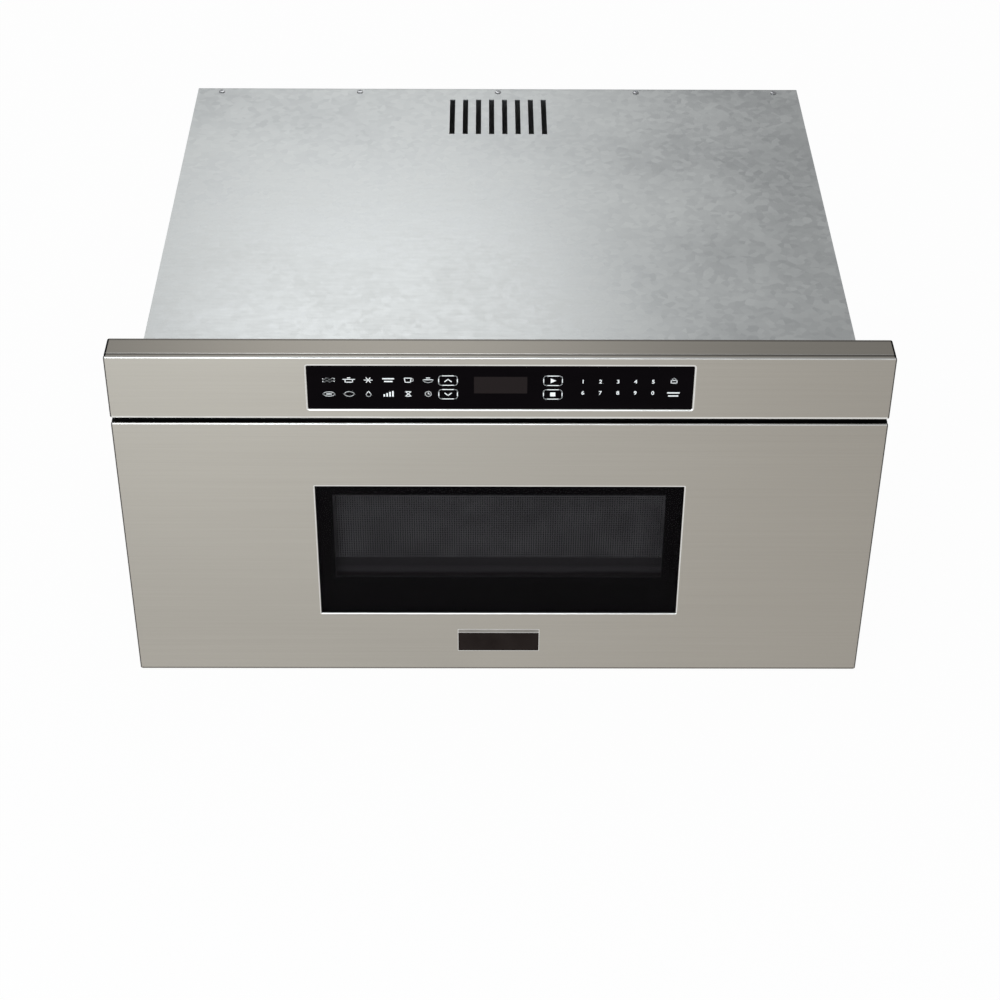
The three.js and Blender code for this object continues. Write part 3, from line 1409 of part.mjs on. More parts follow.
function windowScreen() {
  const back = pressingFront - 0.1 - SHEET - SEAT;
  const half = sightHalf + SCREEN_LAP;
  return block(-half, half, back - SCREEN, back, sightBottom - SCREEN_APRON, sightTop + SCREEN_LAP);
}

function windowGlass() {
  const half = WINDOW_WIDTH / 2 + GLASS_LAP;
  const outline = roundRect(-half, half, windowBottom - GLASS_LAP, windowTop + GLASS_LAP, 2);
  return prism("y", outline, skinBackY, skinBackY + WINDOW_GLASS, 2);
}

const tubHalf = cavityHalf - TUB_CLEARANCE;
const tubFloor = cavityFloor + TUB_CLEARANCE / 2;
const tubTop = cavityTop - TUB_CLEARANCE;
const tubFront = pressingBack + SEAT;
const tubBack = cavityBack - 2 * TUB_CLEARANCE;

function drawerTub() {
  const wallHalf = tubHalf - TUB_LIP;
  const wallBack = tubBack - TUB_LIP;
  const outerRing = (z, inset, radius) =>
    levelRing(-wallHalf + inset, wallHalf - inset, tubFront, wallBack - inset, radius, z);
  const outer = loft([
    outerRing(tubFloor, TUB_DRAFT + 3, TUB_CORNER - 3),
    outerRing(tubFloor + 3, TUB_DRAFT, TUB_CORNER),
    outerRing(tubTop, 0, TUB_CORNER),
  ]);
  const lip = loft([
    levelRing(-tubHalf, tubHalf, tubFront, tubBack, TUB_CORNER, tubTop - 4),
    levelRing(-tubHalf, tubHalf, tubFront, tubBack, TUB_CORNER, tubTop),
  ]);
  const innerRing = (z, inset) =>
    levelRing(
      -wallHalf + TUB_WALL + inset,
      wallHalf - TUB_WALL - inset,
      tubFront + TUB_WALL,
      wallBack - TUB_WALL - inset,
      TUB_CORNER - TUB_WALL,
      z,
    );
  const room = loft([innerRing(tubFloor + TUB_WALL, TUB_DRAFT), innerRing(tubTop + 1, 0)]);
  const sight = prism(
    "y",
    roundRect(-sightHalf - 4, sightHalf + 4, sightBottom - 4, sightTop + 4, 6),
    tubFront - 1,
    tubFront + TUB_WALL + 1,
    3,
  );
  return cut(join(outer, lip), room, sight);
}

function glassTray() {
  const half = tubHalf - TUB_LIP - TUB_WALL - TUB_DRAFT - 1;
  const y0 = tubFront + TUB_WALL + 1;
  const y1 = tubBack - TUB_LIP - TUB_WALL - TUB_DRAFT - 1;
  const low = tubFloor + TUB_WALL + SEAT;
  const radius = TUB_CORNER - TUB_WALL;
  const high = low + TRAY_THICKNESS;
  return loft([
    levelRing(-half + 1, half - 1, y0 + 1, y1 - 1, radius, low),
    levelRing(-half, half, y0, y1, radius, low + 1),
    levelRing(-half, half, y0, y1, radius, high - 1),
    levelRing(-half + 1, half - 1, y0 + 1, y1 - 1, radius, high),
  ]);
}

// ---------------------------------------------------------------- assembly

add(chassis, "control_fascia", controlFascia(), ...STAINLESS);
add(chassis, "control_glass", controlGlass(), ...BLACK_GLASS);
add(chassis, "display_module", displayModule(), ...BLACK_PLASTIC);
add(chassis, "control_board", controlBoard(), ...BOARD_GREEN);
add(chassis, "control_housing", controlHousing(), ...BLACK_PLASTIC);
add(chassis, "face_frame", faceFrame(), ...BLACK_PAINT);
add(chassis, "base_pan", basePan(), ...ZINC);
add(chassis, "chassis_wrap", chassisWrap(), ...ZINC);
add(chassis, "rear_panel", rearPanel(), ...ZINC);
add(chassis, "cord_gland", cordGland(), ...BLACK_PLASTIC);
add(chassis, "oven_cavity", ovenCavity(), ...GREY_ENAMEL);
add(chassis, "antenna_cover", antennaCover(), ...CERAMIC);
add(chassis, "waveguide", waveguide(), ...ZINC);
add(chassis, "magnetron", magnetron(), ...STEEL);
add(chassis, "antenna_motor", antennaMotor(), ...STEEL);
add(chassis, "exhaust_duct", exhaustDuct(), ...BLACK_PLASTIC);
add(chassis, "fan_shroud", fanShroud(), ...ZINC);
add(chassis, "fan_motor", fanMotor(), ...STEEL);
add(chassis, "hv_transformer", hvTransformer(), ...COPPER);
add(chassis, "hv_capacitor", hvCapacitor(), ...ZINC);
add(chassis, "hv_rectifier", hvRectifier(), ...BLACK_PLASTIC);
add(chassis, "line_filter", lineFilter(), ...BOARD_GREEN);
add(chassis, "lamp_housing", lampHousing(), ...ZINC);
add(chassis, "lamp_bulb", lampBulb(), ...CLEAR);
addPair(chassis, "interlock_switch", interlockSwitch(), ...WHITE_PLASTIC);
addPair(chassis, "slide_outer", slideOuter(), ...ZINC);
addPair(chassis, "rail_bracket", railBracket(), ...ZINC);
addPair(chassis, "shaft_bush", shaftBush(), ...WHITE_PLASTIC);
add(chassis, "drive_gearmotor", driveGearmotor(), ...BLACK_PLASTIC);

addPair(chassis, "slide_middle", slideMiddle(), ...ZINC);
add(chassis, "drive_shaft", driveShaft(), ...STEEL);
addPair(chassis, "pinion", pinion(), ...WHITE_PLASTIC);
add(chassis, "fan_impeller", fanImpeller(), ...BLACK_PLASTIC);
add(chassis, "stirrer_antenna", stirrerAntenna(), ...STEEL);

add(drawer, "drawer_front", drawerFront(), ...STAINLESS);
add(drawer, "window_glass", windowGlass(), ...BLACK_GLASS);
add(drawer, "door_pressing", doorPressing(), ...ZINC);
add(drawer, "choke_frame", chokeFrame(), ...ZINC);
add(drawer, "choke_cover", chokeCover(), ...BLACK_PLASTIC);
add(drawer, "window_screen", windowScreen(), ...BLACK_PAINT);
add(drawer, "inner_pane", innerPane(), ...CLEAR);
add(drawer, "drawer_tub", drawerTub(), ...TUB_PLASTIC);
add(drawer, "glass_tray", glassTray(), ...CLEAR);
addPair(drawer, "drawer_arm", drawerArm(), ...ZINC);
addPair(drawer, "slide_inner", slideInner(), ...ZINC);
addPair(drawer, "rack", rack(), ...WHITE_PLASTIC);
addPair(drawer, "latch_head", latchHead(), ...WHITE_PLASTIC);

const microwaveDrawer = new THREE.Group();
microwaveDrawer.add(chassis, drawer);

export default microwaveDrawer;
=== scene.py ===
"""The looks of a built-in microwave drawer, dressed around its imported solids.

Everything is in metres. +X is the user's right, the front faces -Y, +Z is up.
"""

import math

import bmesh
import bpy
from mathutils import Matrix, Vector


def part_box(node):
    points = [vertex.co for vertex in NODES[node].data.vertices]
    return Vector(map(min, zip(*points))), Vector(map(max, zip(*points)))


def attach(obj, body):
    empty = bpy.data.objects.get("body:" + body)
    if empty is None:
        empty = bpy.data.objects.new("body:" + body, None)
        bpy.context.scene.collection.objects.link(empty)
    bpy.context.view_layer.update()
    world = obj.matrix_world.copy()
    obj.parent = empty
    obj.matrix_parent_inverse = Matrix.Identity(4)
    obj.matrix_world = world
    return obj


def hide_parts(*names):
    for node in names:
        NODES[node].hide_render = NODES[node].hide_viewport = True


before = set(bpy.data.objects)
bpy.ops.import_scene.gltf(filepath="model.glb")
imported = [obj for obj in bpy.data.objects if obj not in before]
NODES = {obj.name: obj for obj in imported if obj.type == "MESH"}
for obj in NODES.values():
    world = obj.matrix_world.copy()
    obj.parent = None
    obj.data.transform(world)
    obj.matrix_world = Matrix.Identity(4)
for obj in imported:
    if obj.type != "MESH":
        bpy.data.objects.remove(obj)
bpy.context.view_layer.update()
MM = 0.001
BRUSHING = "brushing"  # the UV map of the brushed pieces: U across the streaks, V along them
FOOT_COAT = 27 * MM  # height of the coat along the foot of the window's screen, down which painted light makes it lighter
WINDING = 15.5 * MM  # how far the transformer's windings stand out of its core
CONTROL_BOARD = 1.65 * MM  # from the low side of each board's box to the face of its green sheet
FILTER_BOARD = 9.65 * MM

# ---- node and mesh helpers


class Graph:
    """A node tree under construction."""

    def __init__(self, tree):
        self.tree = tree

    def feed(self, socket, value):
        """Joins an output to a socket, or sets the socket to a value."""
        if isinstance(value, bpy.types.NodeSocket):
            self.tree.links.new(value, socket)
        else:
            socket.default_value = value

    def node(self, kind, inputs, **settings):
        """The outputs of a new node, with its settings and with what its inputs are fed."""
        made = self.tree.nodes.new(kind)
        for key, value in settings.items():
            setattr(made, key, value)
        for key, value in inputs.items():
            self.feed(made.inputs[key], value)
        return made.outputs


class Finish(Graph):
    """A material under construction, with short ways to make the nodes it needs."""

    def __init__(self, name):
        self.material = bpy.data.materials.new(name)
        self.material.use_nodes = True
        super().__init__(self.material.node_tree)
        self.shader = self.tree.nodes["Principled BSDF"]

    def set(self, **values):
        """Feeds the shader's own inputs."""
        for key, value in values.items():
            self.feed(self.shader.inputs[key.replace("_", " ")], value)
        return self

    def place(self, scale=(1, 1, 1), shift=(0, 0, 0), source=None):
        """The piece's own coordinates, or one of its UV maps, stretched by scale."""
        if source:
            at = self.node("ShaderNodeUVMap", {}, uv_map=source)["UV"]
        else:
            at = self.node("ShaderNodeTexCoord", {})["Object"]
        return self.node("ShaderNodeMapping", {"Vector": at, "Scale": scale, "Location": shift})["Vector"]

    def noise(self, where, scale=1.0, detail=2.0, rough=0.5):
        inputs = {"Vector": where, "Scale": scale, "Detail": detail, "Roughness": rough}
        return self.node("ShaderNodeTexNoise", inputs)["Fac"]

    def cells(self, where, scale=1.0, feature="F1", output="Distance"):
        inputs = {"Vector": where, "Scale": scale}
        return self.node("ShaderNodeTexVoronoi", inputs, feature=feature)[output]

    def axes(self):
        """The piece's own X, Y and Z, as three outputs."""
        return self.node("ShaderNodeSeparateXYZ", {"Vector": self.place()})

    def ramp(self, factor, low, high, at=(0.3, 0.7)):
        """Runs from one colour or grey to another along a factor, between two places of it."""
        made = self.tree.nodes.new("ShaderNodeValToRGB")
        for element, place, value in zip(made.color_ramp.elements, at, (low, high)):
            colour = value if isinstance(value, tuple) else (value,) * 3
            element.position = place
            element.color = colour + (1,)
        self.feed(made.inputs["Fac"], factor)
        return made.outputs["Color"]

    def math(self, operation, first, second=0.0):
        return self.node("ShaderNodeMath", {0: first, 1: second}, operation=operation)["Value"]

    def share(self, first, part, second):
        """Part of the first, and the rest of the second."""
        rest = self.math("MULTIPLY", second, 1 - part)
        return self.math("ADD", self.math("MULTIPLY", first, part), rest)

    def mix(self, factor, first, second):
        """A colour between two, by factor."""
        return self.node("ShaderNodeMix", {0: factor, 6: first, 7: second}, data_type="RGBA")[2]

    def tones(self, factor, low, high, at=(0.3, 0.7)):
        self.set(Base_Color=self.ramp(factor, low, high, at))

    def rough(self, factor, low, high, at=(0.3, 0.7)):
        self.set(Roughness=self.ramp(factor, low, high, at))

    def bump(self, height, distance, strength):
        inputs = {"Height": height, "Strength": strength, "Distance": distance}
        self.set(Normal=self.node("ShaderNodeBump", inputs)["Normal"])


def placed(name, data):
    """An object of that data, in the scene."""
    made = bpy.data.objects.new(name, data)
    bpy.context.scene.collection.objects.link(made)
    return made


def settled(piece):
    """The plain mesh of a piece after its modifiers."""
    bpy.context.view_layer.update()
    graph = bpy.context.evaluated_depsgraph_get()
    return bpy.data.meshes.new_from_object(piece.evaluated_get(graph))


def mesh_piece(name, vertices, faces, material, smooth=None, kinds=None):
    """A mesh object with its faces turned outwards, and edges sharper than smooth degrees kept crisp.

    Where material is a list, kinds says which of them each face has.
    """
    mesh = bpy.data.meshes.new(name)
    mesh.from_pydata([tuple(v) for v in vertices], [], faces)
    made = placed(name, mesh)
    for finish in material if isinstance(material, list) else [material]:
        mesh.materials.append(finish)
    if kinds:
        mesh.polygons.foreach_set("material_index", kinds)
    work = bmesh.new()
    work.from_mesh(mesh)
    bmesh.ops.remove_doubles(work, verts=work.verts, dist=1e-7)
    bmesh.ops.recalc_face_normals(work, faces=work.faces)
    work.to_mesh(mesh)
    work.free()
    if smooth is not None:
        mesh.shade_smooth()
        mesh.set_sharp_from_angle(angle=math.radians(smooth))
    return made


def round_rectangle(x0, x1, z0, z1, radius, steps=6):
    """Points round a rectangle with round corners, from its lower right corner."""
    r = max(radius, 1e-5)
    corners = ((x1 - r, z0 + r, -90), (x1 - r, z1 - r, 0), (x0 + r, z1 - r, 90), (x0 + r, z0 + r, 180))
    points = []
    for cx, cz, start in corners:
        for i in range(steps + 1):
            angle = math.radians(start + 90 * i / steps)
            points.append((cx + r * math.cos(angle), cz + r * math.sin(angle)))
    return points


def standing_ring(x0, x1, z0, z1, radius, y, steps=6):
    return [Vector((x, y, z)) for x, z in round_rectangle(x0, x1, z0, z1, radius, steps)]


def lying_ring(x0, x1, y0, y1, radius, z, steps=6):
    return [Vector((x, y, z)) for x, y in round_rectangle(x0, x1, y0, y1, radius, steps)]


def ring_shell(name, rings, material, smooth=35, closed=False, caps=False, ring_kinds=()):
    """Quads from each ring to the next, and back to the first where the shell is closed.

    Where material is a list, ring_kinds says which of them the quads after each ring have.
    """
    count = len(rings[0])
    vertices = [p for ring in rings for p in ring]
    faces = []
    kinds = []
    pairs = len(rings) if closed else len(rings) - 1
    for ring in range(pairs):
        first = ring * count
        second = ((ring + 1) % len(rings)) * count
        for i in range(count):
            j = (i + 1) % count
            faces.append((first + i, first + j, second + j, second + i))
            kinds.append(ring_kinds[ring] if ring_kinds else 0)
    if caps:
        faces.append(tuple(range(count)))
        faces.append(tuple(range((len(rings) - 1) * count, len(rings) * count)))
        kinds += [0, 0]
    return mesh_piece(name, vertices, faces, material, smooth, kinds)


def joined(name, pieces, material=None):
    """One object of several pieces, each keeping its material unless one is given."""
    work = bmesh.new()
    kinds = []
    for piece in pieces:
        own = list(piece.data.materials)
        offset = len(work.faces)
        work.from_mesh(piece.data)
        work.faces.ensure_lookup_table()
        for face in work.faces[offset:]:
            kind = own[face.material_index] if own else None
            if kind not in kinds:
                kinds.append(kind)
            face.material_index = kinds.index(kind)
    mesh = bpy.data.meshes.new(name)
    work.to_mesh(mesh)
    work.free()
    for kind in [material] if material else kinds:
        mesh.materials.append(kind)
    if material:
        for polygon in mesh.polygons:
            polygon.material_index = 0
    for piece in pieces:
        bpy.data.objects.remove(piece)
    return placed(name, mesh)


def polished_slab(name, low, high, corner, edge, material):
    """A standing plate with round corners and a small polished edge all round."""
    x0, x1, z0, z1 = low.x, high.x, low.z, high.z
    rings = [
        standing_ring(x0 + inset, x1 - inset, z0 + inset, z1 - inset, corner - inset, y)
        for inset, y in ((edge, low.y), (0, low.y + edge), (0, high.y - edge), (edge, high.y))
    ]
    return ring_shell(name, rings, material, 30, caps=True)


# ---- finishes


def times(colour, factor):
    return tuple(c * factor for c in colour)


def brushed_stainless(name, tone):
    """Stainless brushed along the width: long thin streaks, and a sheen stretched across them."""
    f = Finish(name).set(Metallic=1.0, Anisotropic=0.5)
    f.set(Tangent=f.node("ShaderNodeTangent", {}, direction_type="UV_MAP", uv_map=BRUSHING)["Tangent"])
    fine = f.noise(f.place((2600, 7, 1), source=BRUSHING), 1.0, 3, 0.6)
    streaks = f.noise(f.place((420, 2.4, 1), shift=(3, 7, 0), source=BRUSHING), 1.0, 4, 0.65)
    cloud = f.noise(f.place((3, 3, 5)), 1.0, 2)
    both = f.share(fine, 0.5, streaks)
    f.tones(f.share(both, 0.8, cloud), times(tone, 0.93), times(tone, 1.07))
    f.rough(both, 0.47, 0.54, (0.25, 0.75))
    f.bump(both, 0.00002, 0.3)
    return f.material


def polished_edge():
    """The rolled edges and the coined mouths, where the brushing is polished out, in a lighter colour
    that is partly a painted highlight; also the flat strips of painted highlight.
    """
    f = Finish("polished_edge").set(Metallic=1.0)
    grain = f.noise(f.place((40, 900, 900)), 1.0, 2)
    # painted highlight: far lighter than the brushed face, in place of the bright reflections along the
    # edges
    f.tones(grain, (0.64, 0.63, 0.60), (0.74, 0.73, 0.70))
    f.rough(grain, 0.28, 0.36)
    return f.material


def zinc_sheet():
    """Galvanised sheet with a faint spangle and rolling scratches."""
    f = Finish("zinc_sheet").set(Metallic=0.92)
    spangle = f.cells(f.place(), 130, output="Color")
    grey = f.node("ShaderNodeRGBToBW", {"Color": spangle})["Val"]
    scratches = f.noise(f.place((30, 900, 900)), 1.0, 3, 0.6)
    stain = f.noise(f.place(), 9, 3)
    tone = f.share(grey, 0.35, stain)
    f.tones(tone, (0.43, 0.44, 0.44), (0.60, 0.61, 0.60), (0.2, 0.8))
    f.rough(f.math("ADD", tone, f.math("MULTIPLY", scratches, 0.4)), 0.3, 0.5, (0.3, 1.0))
    f.bump(scratches, 0.00003, 0.4)
    return f.material


def grained(f, grain, tone, low, high, rough, relief, at=(0.3, 0.7)):
    """Gives a finish a grain in its sheen and relief, and another noise in its tone."""
    f.tones(tone, low, high, at)
    f.rough(grain, *rough)
    f.bump(grain, *relief)
    return f.material


def powder_coat(name, colour, rough, shine):
    """Sprayed and baked paint with a fine orange peel."""
    f = Finish(name).set(Specular_IOR_Level=shine)
    peel, broad = f.noise(f.place(), 900), f.noise(f.place(), 40)
    lighter = tuple(min(1, c * 1.5 + 0.004) for c in colour)
    sheen = (rough - 0.06, rough + 0.08)
    return grained(f, peel, broad, colour, lighter, sheen, (0.00005, 0.5), (0.3, 0.8))


def moulded_plastic(name, colour, rough, grain=1800):
    """Injection moulded plastic with a fine grain and faint flow marks."""
    f = Finish(name)
    texture, flow = f.noise(f.place(), grain), f.noise(f.place(), 14, 3)
    darker = times(colour, 0.88)
    return grained(f, texture, flow, darker, colour, (rough - 0.07, rough + 0.07), (0.00003, 0.6))


def wiped_glass(name, wipe_scale, darker, lighter, rough, **values):
    """Polished glass with the faintest wipe marks."""
    f = Finish(name).set(**values)
    wipes = f.noise(f.place(wipe_scale), 1.0, 3)
    f.tones(wipes, darker, lighter, (0.3, 0.8))
    f.rough(wipes, *rough, (0.4, 0.9))
    if "Alpha" in values:
        f.material.surface_render_method = "BLENDED"
    return f.material


def clear_glass(name, tint, alpha):
    f = Finish(name).set(Alpha=alpha, Specular_IOR_Level=0.6)
    waves = f.noise(f.place(), 30, 2)
    f.tones(waves, times(tint, 0.9), tint)
    f.rough(waves, 0.04, 0.12)
    f.material.surface_render_method = "BLENDED"
    return f.material


def foot_coat_with_painted_light(top):
    """The dark coat along the foot of the window's screen, with painted light that makes it lighter
    towards its lower edge, where the window's print shades it.
    """
    f = Finish("screen_foot").set(Specular_IOR_Level=0.1)
    # painted light: the coat grows lighter downwards, in place of the light that the print's border keeps
    # off
    below = f.math("DIVIDE", f.math("SUBTRACT", top, f.axes()["Z"]), FOOT_COAT)
    painted_lightening = f.math("ADD", below, f.math("MULTIPLY", f.noise(f.place(), 40, 2), 0.05))
    f.tones(painted_lightening, (0.122, 0.108, 0.116), (0.46, 0.41, 0.43), (0.4, 1.0))
    f.rough(f.noise(f.place(), 900, 2), 0.5, 0.62)
    return f.material


def ink(name, colour):
    f = Finish(name).set(Roughness=0.5, Specular_IOR_Level=0.04)
    f.tones(f.noise(f.place(), 3000, 1), times(colour, 0.93), colour)
    return f.material


def machined_steel():
    f = Finish("machined_steel").set(Metallic=1.0)
    rings, cloud = f.noise(f.place((1500, 200, 200))), f.noise(f.place(), 60, 3)
    return grained(f, rings, cloud, (0.38, 0.38, 0.39), (0.56, 0.56, 0.57), (0.22, 0.38), (0.00003, 0.5))


def transformer_core(low, high):
    """Varnished laminations, with enamelled wire where the windings stand out of the core."""
    f = Finish("transformer_core").set(Metallic=0.35)
    place = f.axes()
    core_half = (high.y - low.y) / 2 - WINDING
    away = f.math("ABSOLUTE", f.math("SUBTRACT", place["Y"], (low.y + high.y) / 2))
    sheets = f.math("SINE", f.math("MULTIPLY", place["Y"], 9000))
    wires = f.math("SINE", f.math("MULTIPLY", place["Z"], 7000))
    laminated = f.ramp(sheets, (0.05, 0.045, 0.042), (0.16, 0.14, 0.125), (0.1, 0.9))
    copper = f.ramp(wires, (0.22, 0.075, 0.025), (0.62, 0.25, 0.10), (0.1, 0.9))
    f.set(Base_Color=f.mix(f.math("GREATER_THAN", away, core_half), laminated, copper))
    f.rough(f.noise(f.place(), 200, 2), 0.3, 0.5)
    f.bump(sheets, 0.0001, 0.4)
    return f.material


def cavity_enamel():
    """Sprayed enamel with fine speckles."""
    f = Finish("cavity_enamel")
    peel, specks = f.noise(f.place(), 500), f.cells(f.place(), 900)
    low, high = (0.33, 0.33, 0.32), (0.47, 0.47, 0.455)
    return grained(f, peel, specks, low, high, (0.3, 0.42), (0.00006, 0.4), (0.05, 0.3))


def ceramic():
    f = Finish("ceramic")
    speck = f.noise(f.place(), 1500)
    tone = f.share(speck, 0.5, f.noise(f.place(), 25, 3))
    low, high = (0.66, 0.63, 0.57), (0.80, 0.78, 0.72)
    return grained(f, speck, tone, low, high, (0.4, 0.6), (0.00004, 0.5), (0.35, 0.65))


def circuit_board(name, axis, level):
    """Green board with tracks, and black parts where it stands beyond its sheet."""
    f = Finish(name)
    tracks = f.cells(f.place((220, 220, 220)), 1.0, "DISTANCE_TO_EDGE")
    green = f.ramp(tracks, (0.09, 0.22, 0.10), (0.018, 0.085, 0.035), (0.06, 0.1))
    parts = f.math("GREATER_THAN", f.axes()[axis], level)
    f.set(Base_Color=f.mix(parts, green, (0.02, 0.02, 0.022, 1)))
    f.rough(f.noise(f.place(), 300, 2), 0.32, 0.5)
    f.bump(tracks, 0.00005, 0.4)
    return f.material


def studio_white(name, shown):
    """A pale surface that shows as the white background, while light and shadows see the surface."""
    f = Finish(name).set(Roughness=0.9, Specular_IOR_Level=0.1, Base_Color=(0.86, 0.86, 0.86, 1))
    path = f.node("ShaderNodeLightPath", {})
    glow = f.node("ShaderNodeEmission", {"Strength": 1.0, "Color": (1, 1, 1, 1)})["Emission"]
    seen = f.math("ADD", path["Is Camera Ray"], path["Is Glossy Ray"])
    seen = f.math("MINIMUM", f.math("ADD", seen, path["Is Transmission Ray"]), 1.0)
    inputs = {"Fac": f.math("MULTIPLY", seen, shown), 1: f.shader.outputs["BSDF"], 2: glow}
    blend = f.node("ShaderNodeMixShader", inputs)["Shader"]
    f.feed(f.tree.nodes["Material Output"].inputs["Surface"], blend)
    return f.material


# ---- stainless front

SHEET = 1.0 * MM
FACE_SET = 0.15 * MM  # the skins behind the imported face, which leaves room for the badge's plate
EDGE = 1.4 * MM  # radius of the rolled edges
CORNER = 2.4 * MM
HEM = 2.8 * MM  # the strip of painted shade along the back edge of the returns
SEAM = (3.4 * MM, 6.6 * MM)  # the groove behind the roll of the control panel, from the face, with painted shade in it
SEAM_DEPTH = 0.35 * MM
FOOT_LINE = 1.3 * MM  # the painted highlight along the foot of the control panel, and the painted shade along the drawer's
# width of the strip of painted highlight just behind the groove
SEAM_LIGHT = 0.5 * MM
CONTROL_COIN = (1.6 * MM, 1.8 * MM)  # width of the coined mouth and radius of its corners
WINDOW_COIN = (1.3 * MM, 0.6 * MM)
COIN_DEPTH = 0.9 * MM
EDGE_STEPS = 8
BRUSHED, POLISH_AND_PAINTED_HIGHLIGHT, PAINTED_SHADE, PAINTED_DEEP_SHADE, BLACK = range(5)  # the finishes of a skin, in the order of its materials: brushed, polished with a painted highlight, painted shade, deeper painted shade, and black

panel_low, panel_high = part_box("control_fascia")
front_low, front_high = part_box("drawer_front")
control_low, control_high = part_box("control_glass")
window_low, window_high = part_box("window_glass")
FRONT_Y = front_low.y
GLASS_LAP = 3.6 * MM  # how far the sheet laps over the edge of a glass
MOUTH_FLAT = 2 * MM  # height of the zone along the top of a mouth where its coining runs out


def opening_over(low, high):
    """The x and z limits of the opening in front of a glass."""
    return low.x + GLASS_LAP, high.x - GLASS_LAP, low.z + GLASS_LAP, high.z - GLASS_LAP


def brushing_map(piece):
    """The UV map of a brushed skin, whose streaks lie along the width and go round the ends."""
    mesh = piece.data
    middle = sum(v.co.z for v in mesh.vertices) / len(mesh.vertices)
    layer = mesh.uv_layers.new(name=BRUSHING)
    for face in mesh.polygons:
        end = abs(face.normal.x) > 0.7
        up = 1 if face.center.z > middle else -1
        for loop in face.loop_indices:
            x, y, z = mesh.vertices[mesh.loops[loop].vertex_index].co
            layer.data[loop].uv = (z, y) if end else (z + up * (y - FRONT_Y), x)


def panel_skin(name, low, high, opening, coined, materials, hung):
    """A pressed skin: returns, rolled edges, face, coined opening, and the inside of the sheet.

    The roll is polished along the top with a painted highlight, and has painted shade at the ends,
    and the corners of the returns are painted black as shade. The hem and the groove have painted shade.
    A hung skin has black returns and painted shade on the roll along its foot, and the other a painted
    highlight there.
    """
    x0, x1, z0, z1 = low.x, high.x, low.z, high.z
    y, y_back = low.y + FACE_SET, high.y
    coin_width, coin_corner = coined
    ox0, ox1, oz0, oz1 = opening
    rings, kinds = [], []

    def add(ring, kind=BRUSHED):
        """The next ring, and the finish of the strip that follows it."""
        rings.append(ring)
        kinds.append(kind)

    def outline(inset, depth, radius=None):
        corner = CORNER - inset if radius is None else radius
        return standing_ring(x0 + inset, x1 - inset, z0 + inset, z1 - inset, corner, depth)

    def mouth(grow, depth):
        """A ring of the coined opening, nearly flat along the top, where it meets the sheet's edge."""
        corner = coin_corner + grow * 0.8
        ring = standing_ring(ox0 - grow, ox1 + grow, oz0 - grow, oz1 + grow, corner, y + depth)
        for point in ring:
            flat = min(1, max(0, (point.z - oz1 + MOUTH_FLAT) / MOUTH_FLAT))
            point.y = y + depth * (1 - 0.9 * flat)
        return ring

    # painted shade along the back hem
    add(outline(0, y_back), PAINTED_SHADE)
    add(outline(0, y_back - HEM))
    # a strip of painted highlight, then painted shade in the groove
    add(outline(0, y + SEAM[1] + SEAM_LIGHT), POLISH_AND_PAINTED_HIGHLIGHT)
    add(outline(0, y + SEAM[1]), PAINTED_SHADE)
    add(outline(SEAM_DEPTH, y + SEAM[1] - 0.1 * MM), PAINTED_SHADE)
    add(outline(SEAM_DEPTH, y + SEAM[0] + 0.1 * MM), PAINTED_SHADE)
    add(outline(0, y + SEAM[0]))
    for step in range(EDGE_STEPS + 1):
        angle = math.radians(90 * step / EDGE_STEPS)
        inset, depth = EDGE * (1 - math.cos(angle)), EDGE * (1 - math.sin(angle))
        add(outline(inset, y + depth), BRUSHED if step == EDGE_STEPS else POLISH_AND_PAINTED_HIGHLIGHT)
    # the flat strip along the foot, which gets a painted highlight or painted shade below
    add(outline(EDGE + FOOT_LINE, y, 1.2 * MM))
    add(mouth(coin_width + 1 * MM, 0))
    add(mouth(coin_width, 0), POLISH_AND_PAINTED_HIGHLIGHT)
    add(mouth(coin_width * 0.7, COIN_DEPTH * 0.12), POLISH_AND_PAINTED_HIGHLIGHT)
    add(mouth(coin_width * 0.3, COIN_DEPTH * 0.42), POLISH_AND_PAINTED_HIGHLIGHT)
    add(mouth(0, COIN_DEPTH))
    inner = mouth(0, 0)
    for point in inner:
        point.y = y + SHEET
    add(inner)
    add(outline(SHEET + 1.5 * MM, y + SHEET, 0.6 * MM))
    add(outline(SHEET, y + SHEET + 1.2 * MM))
    add(outline(SHEET, y_back))
    skin = ring_shell(name, rings, materials, 40, closed=True, ring_kinds=kinds)
    for face in skin.data.polygons:
        at, sideways = face.center, abs(face.normal.x)
        end = min(at.x - x0, x1 - at.x)
        foot = at.z - z0 < EDGE + FOOT_LINE and sideways < 0.1
        # painted shade on the ends of the roll and along a hung skin's foot, and a painted highlight
        # along the other's foot
        if end < EDGE and at.y < y + EDGE:
            face.material_index = PAINTED_DEEP_SHADE
        elif hung and foot and at.y < y + EDGE:
            face.material_index = PAINTED_SHADE
        elif not hung and foot and at.y < y + 0.1 * MM:
            face.material_index = POLISH_AND_PAINTED_HIGHLIGHT
        # black on a hung skin's returns, and as painted shade at the corners of the other's returns
        if at.y > y + EDGE and (hung or end < CORNER and sideways < 0.99):
            face.material_index = BLACK
    brushing_map(skin)
    return skin


# ---- the control panel's print

PRINT_Y = control_low.y - 0.06 * MM
U0 = panel_low.x  # places on the face are measured from its left edge and its top
V0 = panel_high.z


def face_point(u, v, y=PRINT_Y):
    """A place on the face, u mm from its left and v mm from its top."""
    return Vector((U0 + u * MM, y, V0 - v * MM))


